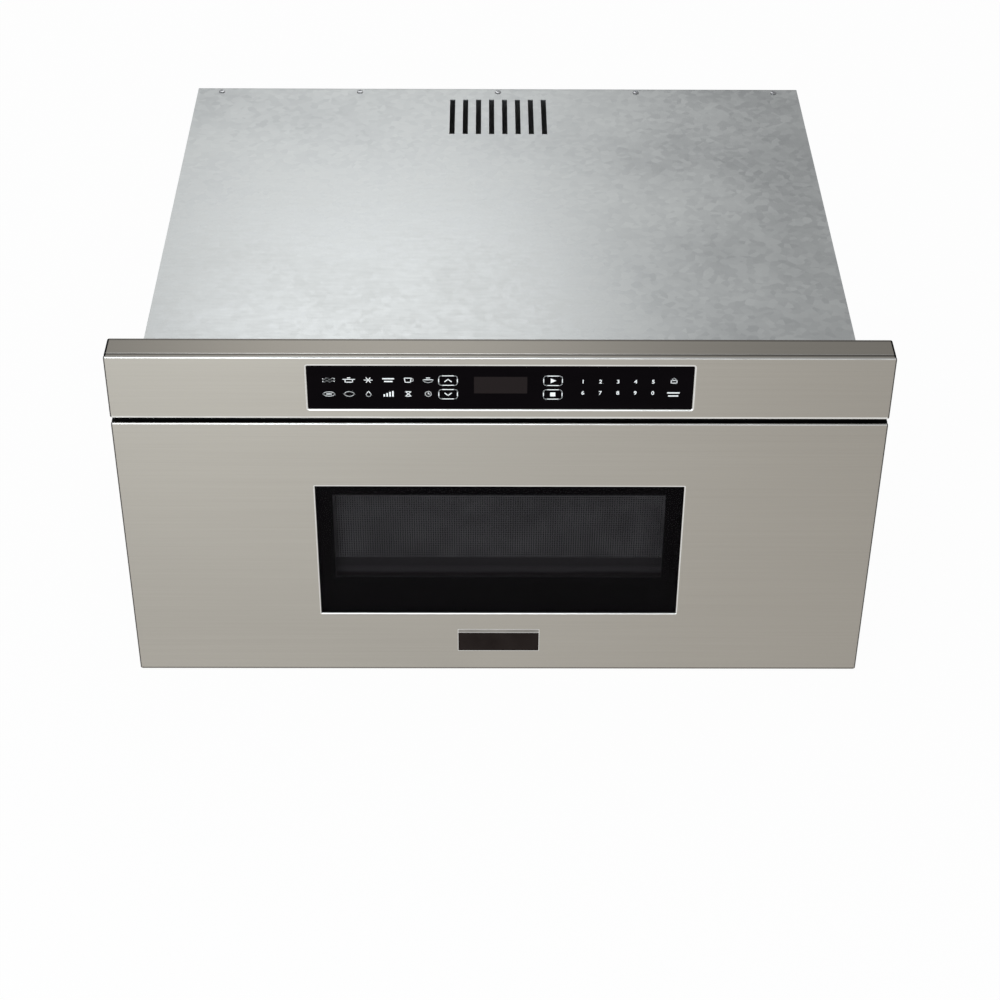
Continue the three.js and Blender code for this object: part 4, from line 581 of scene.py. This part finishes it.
def stroke(points, width, closed=False):
    """The outline quads of a line of even width through (u, v) points, in mm."""
    quads = []
    for (u0, v0), (u1, v1) in zip(points, points[1:] + (points[:1] if closed else [])):
        du, dv = u1 - u0, v1 - v0
        size = math.hypot(du, dv)
        if size < 1e-6:
            continue
        nu, nv = -dv / size * width / 2, du / size * width / 2
        eu, ev = du / size * width * 0.35, dv / size * width * 0.35
        start, end = (u0 - eu, v0 - ev), (u1 + eu, v1 + ev)
        corners = ((start, 1), (end, 1), (end, -1), (start, -1))
        quads.append([(u + side * nu, v + side * nv) for (u, v), side in corners])
    return quads


def arc(u, v, radius, start, end, steps, tall=1.0):
    """Points along an arc, stretched in height by tall."""
    angles = [math.radians(start + (end - start) * i / steps) for i in range(steps + 1)]
    return [(u + radius * math.cos(a), v + tall * radius * math.sin(a)) for a in angles]


def printed(name, quads, material, y=PRINT_Y):
    """Ink on the glass: thin quads, a hair in front of it."""
    vertices, faces = [], []
    for quad in quads:
        first = len(vertices)
        vertices += [face_point(u, v, y) for u, v in quad]
        faces.append(tuple(range(first, first + len(quad))))
    mesh = bpy.data.meshes.new(name)
    mesh.from_pydata([tuple(v) for v in vertices], [], faces)
    work = bmesh.new()
    work.from_mesh(mesh)
    for face in work.faces:
        if face.normal.y > 0:
            face.normal_flip()
    work.to_mesh(mesh)
    work.free()
    mesh.materials.append(material)
    return placed(name, mesh)


LINE = 0.85  # mm, width of the printed lines


def symbol(kind, u, v):
    """A small generic pictogram centred on (u, v), about 10 mm wide and 5 mm tall."""

    def line(*points, wide=1.0, closed=False):
        return stroke([(u + du, v + dv) for du, dv in points], LINE * wide, closed)

    def bar(half, dv, wide=1.0):
        return line((-half, dv), (half, dv), wide=wide)

    def bow(du, dv, radius, start, end, steps=12, tall=1.0):
        return stroke(arc(u + du, v + dv, radius, start, end, steps, tall), LINE)

    def wave(row):
        along = [i / 16 for i in range(17)]
        points = [(-5.6 + 11.2 * part, row + 0.55 * math.sin(part * 4 * math.pi)) for part in along]
        return line(*points, wide=1.25)

    def column(step, tall):
        du = -4.2 + 2.8 * step
        return line((du, 2.7), (du, 2.7 - tall), wide=1.8)

    def ray(turn):
        du, dv = 4.0 * math.cos(math.radians(turn)), 3.2 * math.sin(math.radians(turn))
        return line((-du, -dv), (du, dv), wide=0.9)

    if kind == "pot":
        body = line((-3.6, -0.7), (-3.6, 2.5), (3.6, 2.5), (3.6, -0.7))
        return body + bar(5.6, -0.8) + bar(1.2, -2.5, 1.2)
    if kind == "cup":
        sides = line((-3.6, -2.4), (-2.8, 2.5), (2.2, 2.5), (3.0, -2.4), closed=True)
        return sides + bow(3.5, -0.2, 1.5, -90, 90, 6)
    if kind == "waves":
        return wave(-1.5) + wave(1.5)
    if kind == "flake":
        return ray(0) + ray(60) + ray(120)
    if kind == "clock":
        return bow(0, 0, 2.9, 0, 360, 18) + line((0, -1.6), (0, 0.1), (1.5, 0.1))
    if kind == "plate":
        return bow(0, 0.3, 5.6, 0, 360, 24, 0.45) + bar(2.4, 0.3, 1.2)
    if kind == "bowl":
        return bow(0, -0.4, 4.6, 0, 180, 14, 0.7) + bar(4.8, -0.5) + bar(1.6, -2.6, 1.1)
    if kind == "drop":
        tip = [(u, v - 3.0)]
        return stroke(tip + arc(u, v + 0.9, 2.3, -40, 220, 12) + tip, LINE)
    if kind == "lines":
        return bar(5.6, -1.8, 1.7) + bar(4.4, 1.8, 1.7)
    if kind == "leaf":
        return bow(0, 3.4, 6.0, 210, 330) + bow(0, -3.0, 6.0, 30, 150)
    if kind == "timer":
        return line((-2.8, -2.7), (2.8, -2.7), (-2.8, 2.7), (2.8, 2.7), closed=True)
    if kind == "kernel":
        return bar(5.2, -1.6, 1.6) + bar(3.6, 1.6, 1.6)
    if kind == "power":
        return column(0, 1.6) + column(1, 3.0) + column(2, 4.4) + column(3, 5.6)
    if kind == "lock":
        body = line((-2.8, -0.3), (2.8, -0.3), (2.8, 2.8), (-2.8, 2.8), closed=True)
        return body + bow(0, -0.4, 1.7, 180, 360, 8, 1.4)
    if kind == "up":
        return line((-3.2, 1.3), (0, -1.5), (3.2, 1.3), wide=1.2)
    if kind == "down":
        return line((-3.2, -1.3), (0, 1.5), (3.2, -1.3), wide=1.2)
    if kind == "start":
        return [[(u - 2.2, v - 2.7), (u + 3.2, v), (u - 2.2, v + 2.7)]]
    return [[(u - 2.5, v - 2.3), (u + 2.5, v - 2.3), (u + 2.5, v + 2.3), (u - 2.5, v + 2.3)]]


KEY_COLUMNS = (214.5, 234.1, 252.8, 272.1, 291.2, 310.5)
KEY_ROWS = (26.9, 43.0)
KEY_SYMBOLS = (
    ("waves", "pot", "flake", "kernel", "cup", "bowl"),
    ("plate", "leaf", "drop", "power", "timer", "clock"),
)
LAST_COLUMN = 547.8
BOX_COLUMNS = (329.7, 431.0)
BOX_ROWS = (27.3, 43.3)
BOX_HALF = (9.0, 5.5)
BOX_CORNER = 3.0
BOX_LINE = 0.9
BOX_SYMBOLS = (("up", "start"), ("down", "stop"))
DIGIT_COLUMNS = (460.0, 476.9, 493.9, 510.8, 527.8)
DIGIT_ROWS = (28.4, 41.6)
DISPLAY = (354.8, 406.2, 22.9, 42.2)
DIGIT_HEIGHT = 4.3
FONT_SIZE = 1.38  # size of the font by the height of its figures
DIGIT_WEIGHT = 0.13  # how much the strokes of the figures grow on each side


def digits(material):
    """The figures 1 to 9 and 0, set in two rows."""
    pieces = []
    for row, figures in enumerate(("12345", "67890")):
        for column, figure in zip(DIGIT_COLUMNS, figures):
            curve = bpy.data.curves.new("figure", "FONT")
            curve.body = figure
            curve.size = DIGIT_HEIGHT * FONT_SIZE * MM
            curve.align_x = "CENTER"
            curve.align_y = "CENTER"
            curve.resolution_u = 3
            curve.offset = DIGIT_WEIGHT * MM
            shape = placed("figure", curve)
            bpy.context.view_layer.update()
            mesh = bpy.data.meshes.new_from_object(shape)
            bpy.data.objects.remove(shape)
            at = face_point(column, DIGIT_ROWS[row])
            mesh.transform(Matrix.Translation(at) @ Matrix.Rotation(math.radians(90), 4, "X"))
            pieces.append(placed("figure", mesh))
    return joined("key_figures", pieces, material)


def key_print(white, grey):
    quads = []
    for rows, columns, kinds in (
        (KEY_ROWS, KEY_COLUMNS, KEY_SYMBOLS),
        (KEY_ROWS, (LAST_COLUMN,), (("lock",), ("lines",))),
        (BOX_ROWS, BOX_COLUMNS, BOX_SYMBOLS),
    ):
        for row, in_row in zip(rows, kinds):
            for column, kind in zip(columns, in_row):
                quads += symbol(kind, column, row)
    symbols = printed("key_symbols", quads, white)
    outlines = []
    for row in BOX_ROWS:
        for column in BOX_COLUMNS:
            u0, u1 = column - BOX_HALF[0], column + BOX_HALF[0]
            v0, v1 = row - BOX_HALF[1], row + BOX_HALF[1]
            outlines += stroke(round_rectangle(u0, u1, v0, v1, BOX_CORNER, 6), BOX_LINE, True)
    frames = printed("key_outlines", outlines, white)
    field = round_rectangle(*DISPLAY, 0.6, 2)
    display = printed("display_field", [field], grey, PRINT_Y + 0.03 * MM)
    return [symbols, frames, display, digits(white)]


# ---- the window

SIGHT = (212.0, 547.8, 169.0, 276.1)  # u and v of the see-through area of the window's print, in mm
FIELD = (211.4, 548.6, 182.0, 261.9)  # u and v of the holes, on the screen behind the glass
SIGHT_CORNER = 0.4 * MM
INK = 0.05 * MM
INK_GAP = 0.12 * MM  # from the back of the glass
LINE_TOP = 1.2 * MM  # the thin grey line round the see-through area, wider along its top
LINE_SIDE = 0.7 * MM
DOT_PITCH = 2.4
DOT_RADIUS = 0.78
WELD = 0.05 * MM


def dot_tile(pitch, radius):
    """One square of the screen with an eight-sided hole in it."""
    half = pitch / 2
    around = ((1, 0), (1, 1), (0, 1), (-1, 1), (-1, 0), (-1, -1), (0, -1), (1, -1))
    outer = [(half * s, half * t) for s, t in around]
    turns = [math.radians(45 * i) for i in range(8)]
    inner = [(radius * math.cos(turn), radius * math.sin(turn)) for turn in turns]
    vertices = [(x, 0, z) for x, z in outer + inner]
    faces = [(i, (i + 1) % 8, 8 + (i + 1) % 8, 8 + i) for i in range(8)]
    mesh = bpy.data.meshes.new("dot_tile")
    mesh.from_pydata(vertices, [], faces)
    return placed("dot_tile", mesh)


class Rule(Graph):
    """A geometry node tree under construction, with named inputs."""

    def __init__(self, name, inputs):
        super().__init__(bpy.data.node_groups.new(name, "GeometryNodeTree"))
        face = self.tree.interface
        for label, kind in (("Geometry", "Geometry"), *inputs):
            face.new_socket(label, in_out="INPUT", socket_type=f"NodeSocket{kind}")
        face.new_socket("Geometry", in_out="OUTPUT", socket_type="NodeSocketGeometry")
        self.given = self.node("NodeGroupInput", {})

    def repeat(self, piece, points, **inputs):
        """Copies of a piece on points."""
        source = self.node("GeometryNodeObjectInfo", {"Object": piece})
        given = {"Points": points, "Instance": source["Geometry"], **inputs}
        return self.node("GeometryNodeInstanceOnPoints", given)["Instances"]

    def real(self, copies):
        return self.node("GeometryNodeRealizeInstances", {"Geometry": copies})["Geometry"]

    def painted(self, geometry, material):
        """The finished tree, which gives the geometry that material."""
        paint = self.node("GeometryNodeSetMaterial", {"Geometry": geometry, "Material": material})
        self.node("NodeGroupOutput", {"Geometry": paint["Geometry"]})
        return self.tree


def screen_tree(tile, material):
    """A field of tiles: columns by rows at a pitch, round a centre."""
    inputs = (("Columns", "Int"), ("Rows", "Int"), ("Pitch", "Float"), ("Centre", "Vector"))
    rule = Rule("perforated_field", inputs)
    given = rule.given

    def span(count):
        gaps = rule.node("ShaderNodeMath", {0: given[count], 1: 1}, operation="SUBTRACT")
        return rule.node("ShaderNodeMath", {0: gaps[0], 1: given["Pitch"]}, operation="MULTIPLY")[0]

    size = {"Size X": span("Columns"), "Size Y": span("Rows")}
    counts = {"Vertices X": given["Columns"], "Vertices Y": given["Rows"]}
    grid = rule.node("GeometryNodeMeshGrid", {**size, **counts})
    upright = {"Translation": given["Centre"], "Rotation": (math.radians(90), 0, 0)}
    stand = rule.node("GeometryNodeTransform", {"Geometry": grid["Mesh"], **upright})
    field = rule.real(rule.repeat(tile, stand["Geometry"]))
    weld = rule.node("GeometryNodeMergeByDistance", {"Geometry": field, "Distance": WELD})
    return rule.painted(weld["Geometry"], material)


def grown(name, tree, inputs, points=()):
    """The plain mesh that a tree makes from named inputs, and from points where it asks for them."""
    carrier = placed(name, bpy.data.meshes.new(name))
    carrier.data.from_pydata([tuple(p) for p in points], [], [])
    modifier = carrier.modifiers.new("rule", "NODES")
    modifier.node_group = tree
    sockets = {item.name: item.identifier for item in tree.interface.items_tree if item.in_out == "INPUT"}
    for label, value in inputs.items():
        modifier[sockets[label]] = value
    carrier.update_tag()
    mesh = settled(carrier)
    carrier.modifiers.remove(modifier)
    carrier.data = mesh
    return carrier


def perforated_screen(metal, dark):
    """The screen: a field of round holes in a plain rim, which is dark along its foot, with painted light
    towards the foot's lower edge.
    """
    u0, u1, v0, v1 = FIELD
    low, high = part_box("window_screen")
    y = (low.y + high.y) / 2
    tile = dot_tile(DOT_PITCH * MM, DOT_RADIUS * MM)
    columns = round((u1 - u0) / DOT_PITCH)
    rows = round((v1 - v0) / DOT_PITCH)
    centre = face_point((u0 + u1) / 2, v1 - rows * DOT_PITCH / 2, y)
    field = grown(
        "perforated_field",
        screen_tree(tile, metal),
        {"Columns": columns, "Rows": rows, "Pitch": DOT_PITCH * MM, "Centre": tuple(centre)},
    )
    bpy.data.objects.remove(tile)
    across, up = columns * DOT_PITCH * MM / 2, rows * DOT_PITCH * MM / 2
    left, right = centre.x - across, centre.x + across
    foot, top = centre.z - up, centre.z + up
    rim = []
    for x0, x1, z0, z1, finish in (
        (low.x, high.x, top, high.z, metal),
        (low.x, high.x, low.z, foot, dark),
        (low.x, left, foot, top, metal),
        (right, high.x, foot, top, metal),
    ):
        vertices = [(x0, y, z0), (x1, y, z0), (x1, y, z1), (x0, y, z1)]
        rim.append(mesh_piece("rim", vertices, [(0, 1, 2, 3)], finish))
    return joined("perforated_screen", [field] + rim)


def window_pieces(glass, black, line_grey, metal, dark):
    low, high = window_low, window_high
    pane = polished_slab("window_pane", low, high, 2 * MM, 0.5 * MM, glass)
    u0, u1, v0, v1 = SIGHT
    inner_low, inner_high = face_point(u0, v1), face_point(u1, v0)
    y = high.y + INK_GAP

    def print_ring(outer, inner, corner, finish):
        """A flat ring of ink from one (x0, x1, z0, z1) to another."""
        hole, rim = (inner, SIGHT_CORNER), (outer, corner)
        edges = ((rim, y), (hole, y), (hole, y + INK), (rim, y + INK))
        rings = [standing_ring(*limits, radius, at) for (limits, radius), at in edges]
        return ring_shell("ink", rings, finish, 30, closed=True)

    sight = (inner_low.x, inner_high.x, inner_low.z, inner_high.z)
    glass_edge = (low.x + MM, high.x - MM, low.z + MM, high.z - MM)
    clear = (sight[0] + LINE_SIDE, sight[1] - LINE_SIDE, sight[2] + LINE_SIDE, sight[3] - LINE_TOP)
    line = print_ring(sight, clear, SIGHT_CORNER, line_grey)
    border = joined("window_print", [print_ring(glass_edge, sight, 1 * MM, black), line])
    return pane, border, perforated_screen(metal, dark)


# ---- badge place

BADGE = (337.9, 422.5, 343.1, 372.2)  # u and v of the bare plate with its bar
BADGE_BAR = 4.0
BADGE_SPLIT = 0.4
BADGE_RIM = 0.6 * MM
BADGE_DEPTH = 0.6 * MM


def badge(rim_finish, bar_finish, plate_finish):
    """A bare two-tone plate in a fine bright rim, let into the skin."""
    u0, u1, v0, v1 = BADGE

    def plate(name, top, foot, grow, front, corner, edge, finish):
        """A plate between two heights on the face, grown all round."""
        low, high = face_point(u0, foot), face_point(u1, top)
        low = Vector((low.x - grow, FRONT_Y + front, low.z - grow))
        high = Vector((high.x + grow, FRONT_Y + BADGE_DEPTH, high.z + grow))
        return polished_slab(name, low, high, corner, edge, finish)

    return [
        plate("badge_rim", v0, v1, BADGE_RIM, 0.08 * MM, 0.8 * MM, 0.05 * MM, rim_finish),
        plate("badge_bar", v0, v0 + BADGE_BAR, 0, 0, 0.5 * MM, 0.12 * MM, bar_finish),
        plate("badge_plate", v0 + BADGE_BAR + BADGE_SPLIT, v1, 0, 0, 0.6 * MM, 0.12 * MM, plate_finish),
    ]


# ---- tub and tray

TUB_SIGHT = 4  # mm, how far the tub's window clears the see-through area


def smooth_tub(material):
    low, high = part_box("drawer_tub")
    lip, wall, draft, rounding, corner = 3 * MM, 3 * MM, 4 * MM, 5 * MM, 18 * MM
    rings = []

    def add(inset, front, radius, z):
        """A ring set in from the box at the sides and the back, and at the front."""
        x0, x1, y0, y1 = low.x + inset, high.x - inset, low.y + front, high.y - inset
        rings.append(lying_ring(x0, x1, y0, y1, radius, z, 10))

    turns = [math.radians(90 * i / 7) for i in range(8)]
    for turn in turns:
        inset, rise = rounding * (1 - math.sin(turn)), rounding * (1 - math.cos(turn))
        add(lip + draft + inset, 0, corner, low.z + rise)
    inside = lip + wall
    for inset, front, radius, below in (
        (lip, 0, corner, 4 * MM),
        (0.6 * MM, 0, corner, 4 * MM),
        (0, 0, corner, 3.4 * MM),
        (0, 0, corner, 1.2 * MM),
        (1.2 * MM, 1 * MM, corner - 1 * MM, 0),
        (inside - 1 * MM, wall - 1 * MM, corner - wall + 1 * MM, 0),
        (inside, wall, corner - wall, 1.2 * MM),
    ):
        add(inset, front, radius, high.z - below)
    for turn in turns:
        inset, rise = rounding * (1 - math.cos(turn)), rounding * (1 - math.sin(turn))
        add(inside + draft + inset, wall + inset * 0.2, corner - wall, low.z + wall + rise)
    tub = ring_shell("tub_shell", rings, material, 40, caps=True)
    u0, u1, v0, v1 = SIGHT
    hole_low = face_point(u0 - TUB_SIGHT, v1 + TUB_SIGHT)
    hole_high = face_point(u1 + TUB_SIGHT, v0 - TUB_SIGHT)
    limits = (hole_low.x, hole_high.x, hole_low.z, hole_high.z)
    cut = [standing_ring(*limits, 6 * MM, y) for y in (low.y - 2 * MM, low.y + wall + 2 * MM)]
    carve(tub, ring_shell("cutter", cut, material, None, caps=True))
    return tub


def carve(piece, cutter):
    """Cuts one closed piece out of another."""
    modifier = piece.modifiers.new("cut", "BOOLEAN")
    modifier.operation = "DIFFERENCE"
    modifier.solver = "EXACT"
    modifier.object = cutter
    mesh = settled(piece)
    piece.modifiers.remove(modifier)
    piece.data = mesh
    bpy.data.objects.remove(cutter)
    mesh.set_sharp_from_angle(angle=math.radians(40))


def smooth_tray(material):
    low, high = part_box("glass_tray")
    corner, edge = 15 * MM, 1.2 * MM
    half_edge = ((edge, 0), (0.3 * MM, 0.5 * MM), (0, edge))
    profile = [(inset, low.z + rise) for inset, rise in half_edge]
    profile += [(inset, high.z - rise) for inset, rise in reversed(half_edge)]
    rings = []
    for inset, z in profile:
        limits = (low.x + inset, high.x - inset, low.y + inset, high.y - inset)
        rings.append(lying_ring(*limits, corner - inset, z, 8))
    return ring_shell("tray_glass", rings, material, 40, caps=True)


# ---- fasteners


def screw_head(radius, height, material):
    """A pan head with a cross recess, standing on +Z."""
    work = bmesh.new()
    steps = 16
    turns = [(math.cos(2 * math.pi * i / steps), math.sin(2 * math.pi * i / steps)) for i in range(steps)]
    rings = []
    for wide, tall in ((1, 0), (1, 0.35), (0.86, 0.8), (0.5, 1)):
        r, z = radius * wide, height * tall
        rings.append([work.verts.new((r * c, r * s, z)) for c, s in turns])
    for first, second in zip(rings, rings[1:]):
        for i in range(steps):
            j = (i + 1) % steps
            work.faces.new((first[i], first[j], second[j], second[i]))
    arm, half = radius * 0.44, radius * 0.12
    quarter = [(arm, -half), (arm, half), (half, half)]
    cross = []
    for c, s in ((1, 0), (0, 1), (-1, 0), (0, -1)):
        cross += [(x * c - y * s, x * s + y * c) for x, y in quarter]
    top = [work.verts.new((x, y, height)) for x, y in cross]
    low = [work.verts.new((x * 0.8, y * 0.8, height * 0.35)) for x, y in cross]
    for i in range(len(cross)):
        j = (i + 1) % len(cross)
        work.faces.new((top[i], top[j], low[j], low[i]))
    work.faces.new(low)
    edges = [e for e in work.edges if e.is_boundary and all(abs(v.co.z - height) < 1e-9 for v in e.verts)]
    bmesh.ops.triangle_fill(work, use_beauty=True, use_dissolve=False, edges=edges)
    bottom = [e for e in work.edges if e.is_boundary]
    bmesh.ops.contextual_create(work, geom=bottom)
    bmesh.ops.recalc_face_normals(work, faces=work.faces)
    mesh = bpy.data.meshes.new("screw_head")
    work.to_mesh(mesh)
    work.free()
    mesh.materials.append(material)
    return placed("screw_head", mesh)


def screw_tree(head, material):
    """A screw on every point of the carrier, turned by the carrier's facing."""
    rule = Rule("screw_row", (("Facing", "Vector"), ("Size", "Float"), ("Seed", "Int")))
    given = rule.given
    turn = rule.node("FunctionNodeRandomValue", {3: math.tau, "Seed": given["Seed"]}, data_type="FLOAT")
    spin = rule.node("ShaderNodeCombineXYZ", {"Z": turn[1]})
    aim = rule.node("FunctionNodeAlignEulerToVector", {"Vector": given["Facing"]}, axis="Z")
    heads = rule.repeat(head, given["Geometry"], Rotation=aim["Rotation"], Scale=given["Size"])
    roll = rule.node("GeometryNodeRotateInstances", {"Instances": heads, "Rotation": spin["Vector"]})
    return rule.painted(rule.real(roll["Instances"]), material)


# ---- dressing


def paint(material, names, pairs=""):
    """Gives carried-over nodes their finish: single ones, and those with a left and a right."""
    both = [f"{name}_{side}" for name in pairs.split() for side in ("left", "right")]
    for name in names.split() + both:
        slots = NODES[name].data.materials
        slots.clear()
        slots.append(material)


stainless = brushed_stainless("brushed_stainless", (0.375, 0.347, 0.305))
# painted shade: darker copies of the brushed stainless, for the strips and roll ends where shade falls
stainless_painted_shade = brushed_stainless("shaded_stainless", (0.20, 0.185, 0.165))
stainless_painted_deep_shade = brushed_stainless("end_stainless", (0.095, 0.088, 0.08))
# polished edges with a painted highlight
polished = polished_edge()
zinc = zinc_sheet()
frame_black = powder_coat("frame_black", (0.006, 0.006, 0.0065), 0.6, 0.15)
# black for the drawer's returns, and painted shade at the corners of the control panel's returns
edge_black = powder_coat("edge_black", (0.002, 0.002, 0.002), 0.6, 0.03)
moulded_black = moulded_plastic("moulded_black", (0.028, 0.028, 0.03), 0.55)
panel_glass = wiped_glass(
    "black_glass",
    (14, 14, 60),
    (0.0012, 0.0006, 0.0011),
    (0.0020, 0.0011, 0.0018),
    (0.05, 0.1),
    Specular_IOR_Level=0.025,
)
window_tint = wiped_glass(
    "tinted_glass",
    (12, 12, 50),
    (0.0022, 0.0016, 0.0020),
    (0.0032, 0.0024, 0.0029),
    (0.04, 0.09),
    Alpha=0.45,
    Specular_IOR_Level=0.04,
)
print_black = ink("window_black", (0.0035, 0.003, 0.0035))
key_white = ink("key_white", (0.95, 0.95, 0.93))
display_grey = ink("display_grey", (0.0155, 0.0112, 0.0110))
# the screen's foot: a dark coat with painted light towards its lower edge
screen_foot = foot_coat_with_painted_light(V0 - FIELD[3] * MM)
line_grey = ink("line_grey", (0.13, 0.125, 0.13))
screen_metal = powder_coat("screen_metal", (0.305, 0.285, 0.295), 0.5, 0.2)
tub_white = moulded_plastic("tub_white", (0.62, 0.61, 0.575), 0.45, 900)
acetal = moulded_plastic("acetal", (0.74, 0.74, 0.71), 0.4, 1500)
steel = machined_steel()
enamel = cavity_enamel()
badge_dark = powder_coat("badge_dark", (0.0095, 0.0058, 0.0048), 0.4, 0.05)
badge_grey = powder_coat("badge_grey", (0.205, 0.185, 0.165), 0.4, 0.3)
tray_clear = clear_glass("tray_clear", (0.55, 0.62, 0.60), 0.28)
bulb_clear = clear_glass("bulb_clear", (0.80, 0.78, 0.70), 0.45)

skin_finishes = [stainless, polished, stainless_painted_shade, stainless_painted_deep_shade, edge_black]
control_opening = opening_over(control_low, control_high)
window_opening = opening_over(window_low, window_high)
control_skin = panel_skin(
    "control_skin", panel_low, panel_high, control_opening, CONTROL_COIN, skin_finishes, hung=False
)
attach(control_skin, "chassis")
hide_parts("control_fascia")
drawer_skin = panel_skin(
    "drawer_skin", front_low, front_high, window_opening, WINDOW_COIN, skin_finishes, hung=True
)
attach(drawer_skin, "drawer")
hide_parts("drawer_front")

control_pane = polished_slab("control_pane", control_low, control_high, 2 * MM, 0.4 * MM, panel_glass)
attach(control_pane, "chassis")
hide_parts("control_glass")
for piece in key_print(key_white, display_grey):
    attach(piece, "chassis")

pane, border, screen = window_pieces(window_tint, print_black, line_grey, screen_metal, screen_foot)
for piece, node, slot in (
    (pane, "window_glass", "black_glass"),
    (border, None, "black_glass"),
    (screen, "window_screen", "black_screen"),
):
    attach(piece, "drawer")
    if node:
        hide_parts(node)

for piece in badge(polished, badge_grey, badge_dark):
    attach(piece, "drawer")

tub = smooth_tub(tub_white)
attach(tub, "drawer")
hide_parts("drawer_tub")
tray = smooth_tray(tray_clear)
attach(tray, "drawer")
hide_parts("glass_tray")

paint(
    zinc,
    "base_pan chassis_wrap rear_panel waveguide fan_shroud lamp_housing hv_capacitor"
    " door_pressing choke_frame",
    pairs="slide_outer slide_middle slide_inner rail_bracket drawer_arm",
)
paint(frame_black, "face_frame")
paint(
    moulded_black,
    "display_module control_housing cord_gland exhaust_duct hv_rectifier choke_cover"
    " drive_gearmotor fan_impeller",
)
paint(enamel, "oven_cavity")
paint(ceramic(), "antenna_cover")
paint(steel, "magnetron antenna_motor fan_motor drive_shaft stirrer_antenna")
paint(acetal, "", pairs="interlock_switch shaft_bush pinion rack latch_head")
paint(transformer_core(*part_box("hv_transformer")), "hv_transformer")
board_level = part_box("control_board")[0].y + CONTROL_BOARD
paint(circuit_board("control_circuit", "Y", board_level), "control_board")
filter_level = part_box("line_filter")[0].z + FILTER_BOARD
paint(circuit_board("filter_circuit", "Z", filter_level), "line_filter")
paint(bulb_clear, "lamp_bulb")
paint(clear_glass("pane_clear", (0.30, 0.30, 0.30), 0.2), "inner_pane")

SCREW_RADIUS = 3.6 * MM
SCREW_HEIGHT = 1.7 * MM
SCREW_INSET = 7 * MM  # screws to the edge of their sheet
SUNK = 0.02 * MM  # screws into their sheet
rear_low, rear_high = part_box("rear_panel")
wrap_low, wrap_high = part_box("chassis_wrap")
pan_low, pan_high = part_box("base_pan")


def spread(first, last, count):
    """Evenly spaced places from first to last."""
    return [first + (last - first) * i / (count - 1) for i in range(count)]


def rear_points():
    """Places round the edge of the rear panel."""
    x0, x1 = rear_low.x + SCREW_INSET, rear_high.x - SCREW_INSET
    z0, z1 = rear_low.z + SCREW_INSET, rear_high.z - SCREW_INSET
    y = rear_high.y - SUNK
    ends = [(x, y, z) for x in (x0, x1) for z in spread(z0, z1, 4)]
    return ends + [(x, y, z) for z in (z0, z1) for x in spread(x0, x1, 6)[1:-1]]


def top_points():
    """Places along the front and back edges of the chassis wrap's top."""
    x0, x1 = wrap_low.x + 4 * SCREW_INSET, wrap_high.x - 4 * SCREW_INSET
    edges = (wrap_low.y + 2 * SCREW_INSET, wrap_high.y - SCREW_INSET)
    return [(x, y, wrap_high.z - SUNK) for y in edges for x in spread(x0, x1, 5)]


def side_points(x):
    """Places along the foot of the chassis wrap and up its back edge."""
    foot = (pan_low.z + pan_high.z) / 2 + 1 * MM
    back = wrap_high.y - 3 * SCREW_INSET
    along = [(x, y, foot) for y in spread(wrap_low.y + 4 * SCREW_INSET, back, 5)]
    return along + [(x, back, z) for z in spread(foot, wrap_high.z - 2 * SCREW_INSET, 4)[1:]]


loose_screw = screw_head(SCREW_RADIUS, SCREW_HEIGHT, steel)
screw_rule = screw_tree(loose_screw, steel)
for name, points, facing, seed in (
    ("rear_screws", rear_points(), (0, 1, 0), 3),
    ("top_screws", top_points(), (0, 0, 1), 4),
    ("left_screws", side_points(wrap_low.x + SUNK), (-1, 0, 0), 5),
    ("right_screws", side_points(wrap_high.x - SUNK), (1, 0, 0), 7),
):
    piece = grown(name, screw_rule, {"Facing": facing, "Size": 1.0, "Seed": seed}, points)
    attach(piece, "chassis")
bpy.data.objects.remove(loose_screw)

# ---- studio


FLOOR_HALF = 4
FLOOR_DROP = 0.4 * MM  # below the foot of the front
FLOOR_SHOWN = 0.97  # how far the floor shows as plain white
LIGHTS = (  # name, place, aim, size, power and colour
    ("key_light", (-0.46, -1.6, 0.6), (0, 0, 0.25), (1.2, 0.6), 19.5, (0.86, 0.94, 1)),
    ("back_light", (-0.25, 1.8, 1.8), (0, 0.1, 0.35), (0.9, 0.9), 6.8, (0.97, 0.99, 1)),
)
CAMERA_PLACE = (-0.01617, -1.80763, 1.58183)
CAMERA_TURN = (52.434, -0.337, -0.278)  # degrees about X, Y and Z
CAMERA_LENS = 80.417  # mm, on a 36 mm sensor

a, z = FLOOR_HALF, front_low.z - FLOOR_DROP
white_floor = studio_white("white_floor", FLOOR_SHOWN)
floor = mesh_piece("floor", [(-a, -a, z), (a, -a, z), (a, a, z), (-a, a, z)], [(0, 1, 2, 3)], white_floor)

world = bpy.data.worlds.new("studio")
bpy.context.scene.world = world
world.use_nodes = True
shade = world.node_tree.nodes["Background"]
shade.inputs["Color"].default_value = (0.97, 0.985, 1, 1)
shade.inputs["Strength"].default_value = 0.45

for name, place, aim, size, power, colour in LIGHTS:
    light = bpy.data.lights.new(name, "AREA")
    light.shape = "RECTANGLE"
    light.size, light.size_y = size
    light.energy = power
    light.color = colour
    lamp = placed(name, light)
    lamp.visible_camera = False
    lamp.location = place
    lamp.rotation_euler = (Vector(aim) - Vector(place)).to_track_quat("-Z", "Y").to_euler()

lens = bpy.data.cameras.new("camera")
lens.sensor_width = 36
lens.lens = CAMERA_LENS
camera = placed("camera", lens)
camera.location = CAMERA_PLACE
camera.rotation_euler = [math.radians(turn) for turn in CAMERA_TURN]
bpy.context.scene.camera = camera
bpy.context.scene.view_settings.view_transform = "Standard"
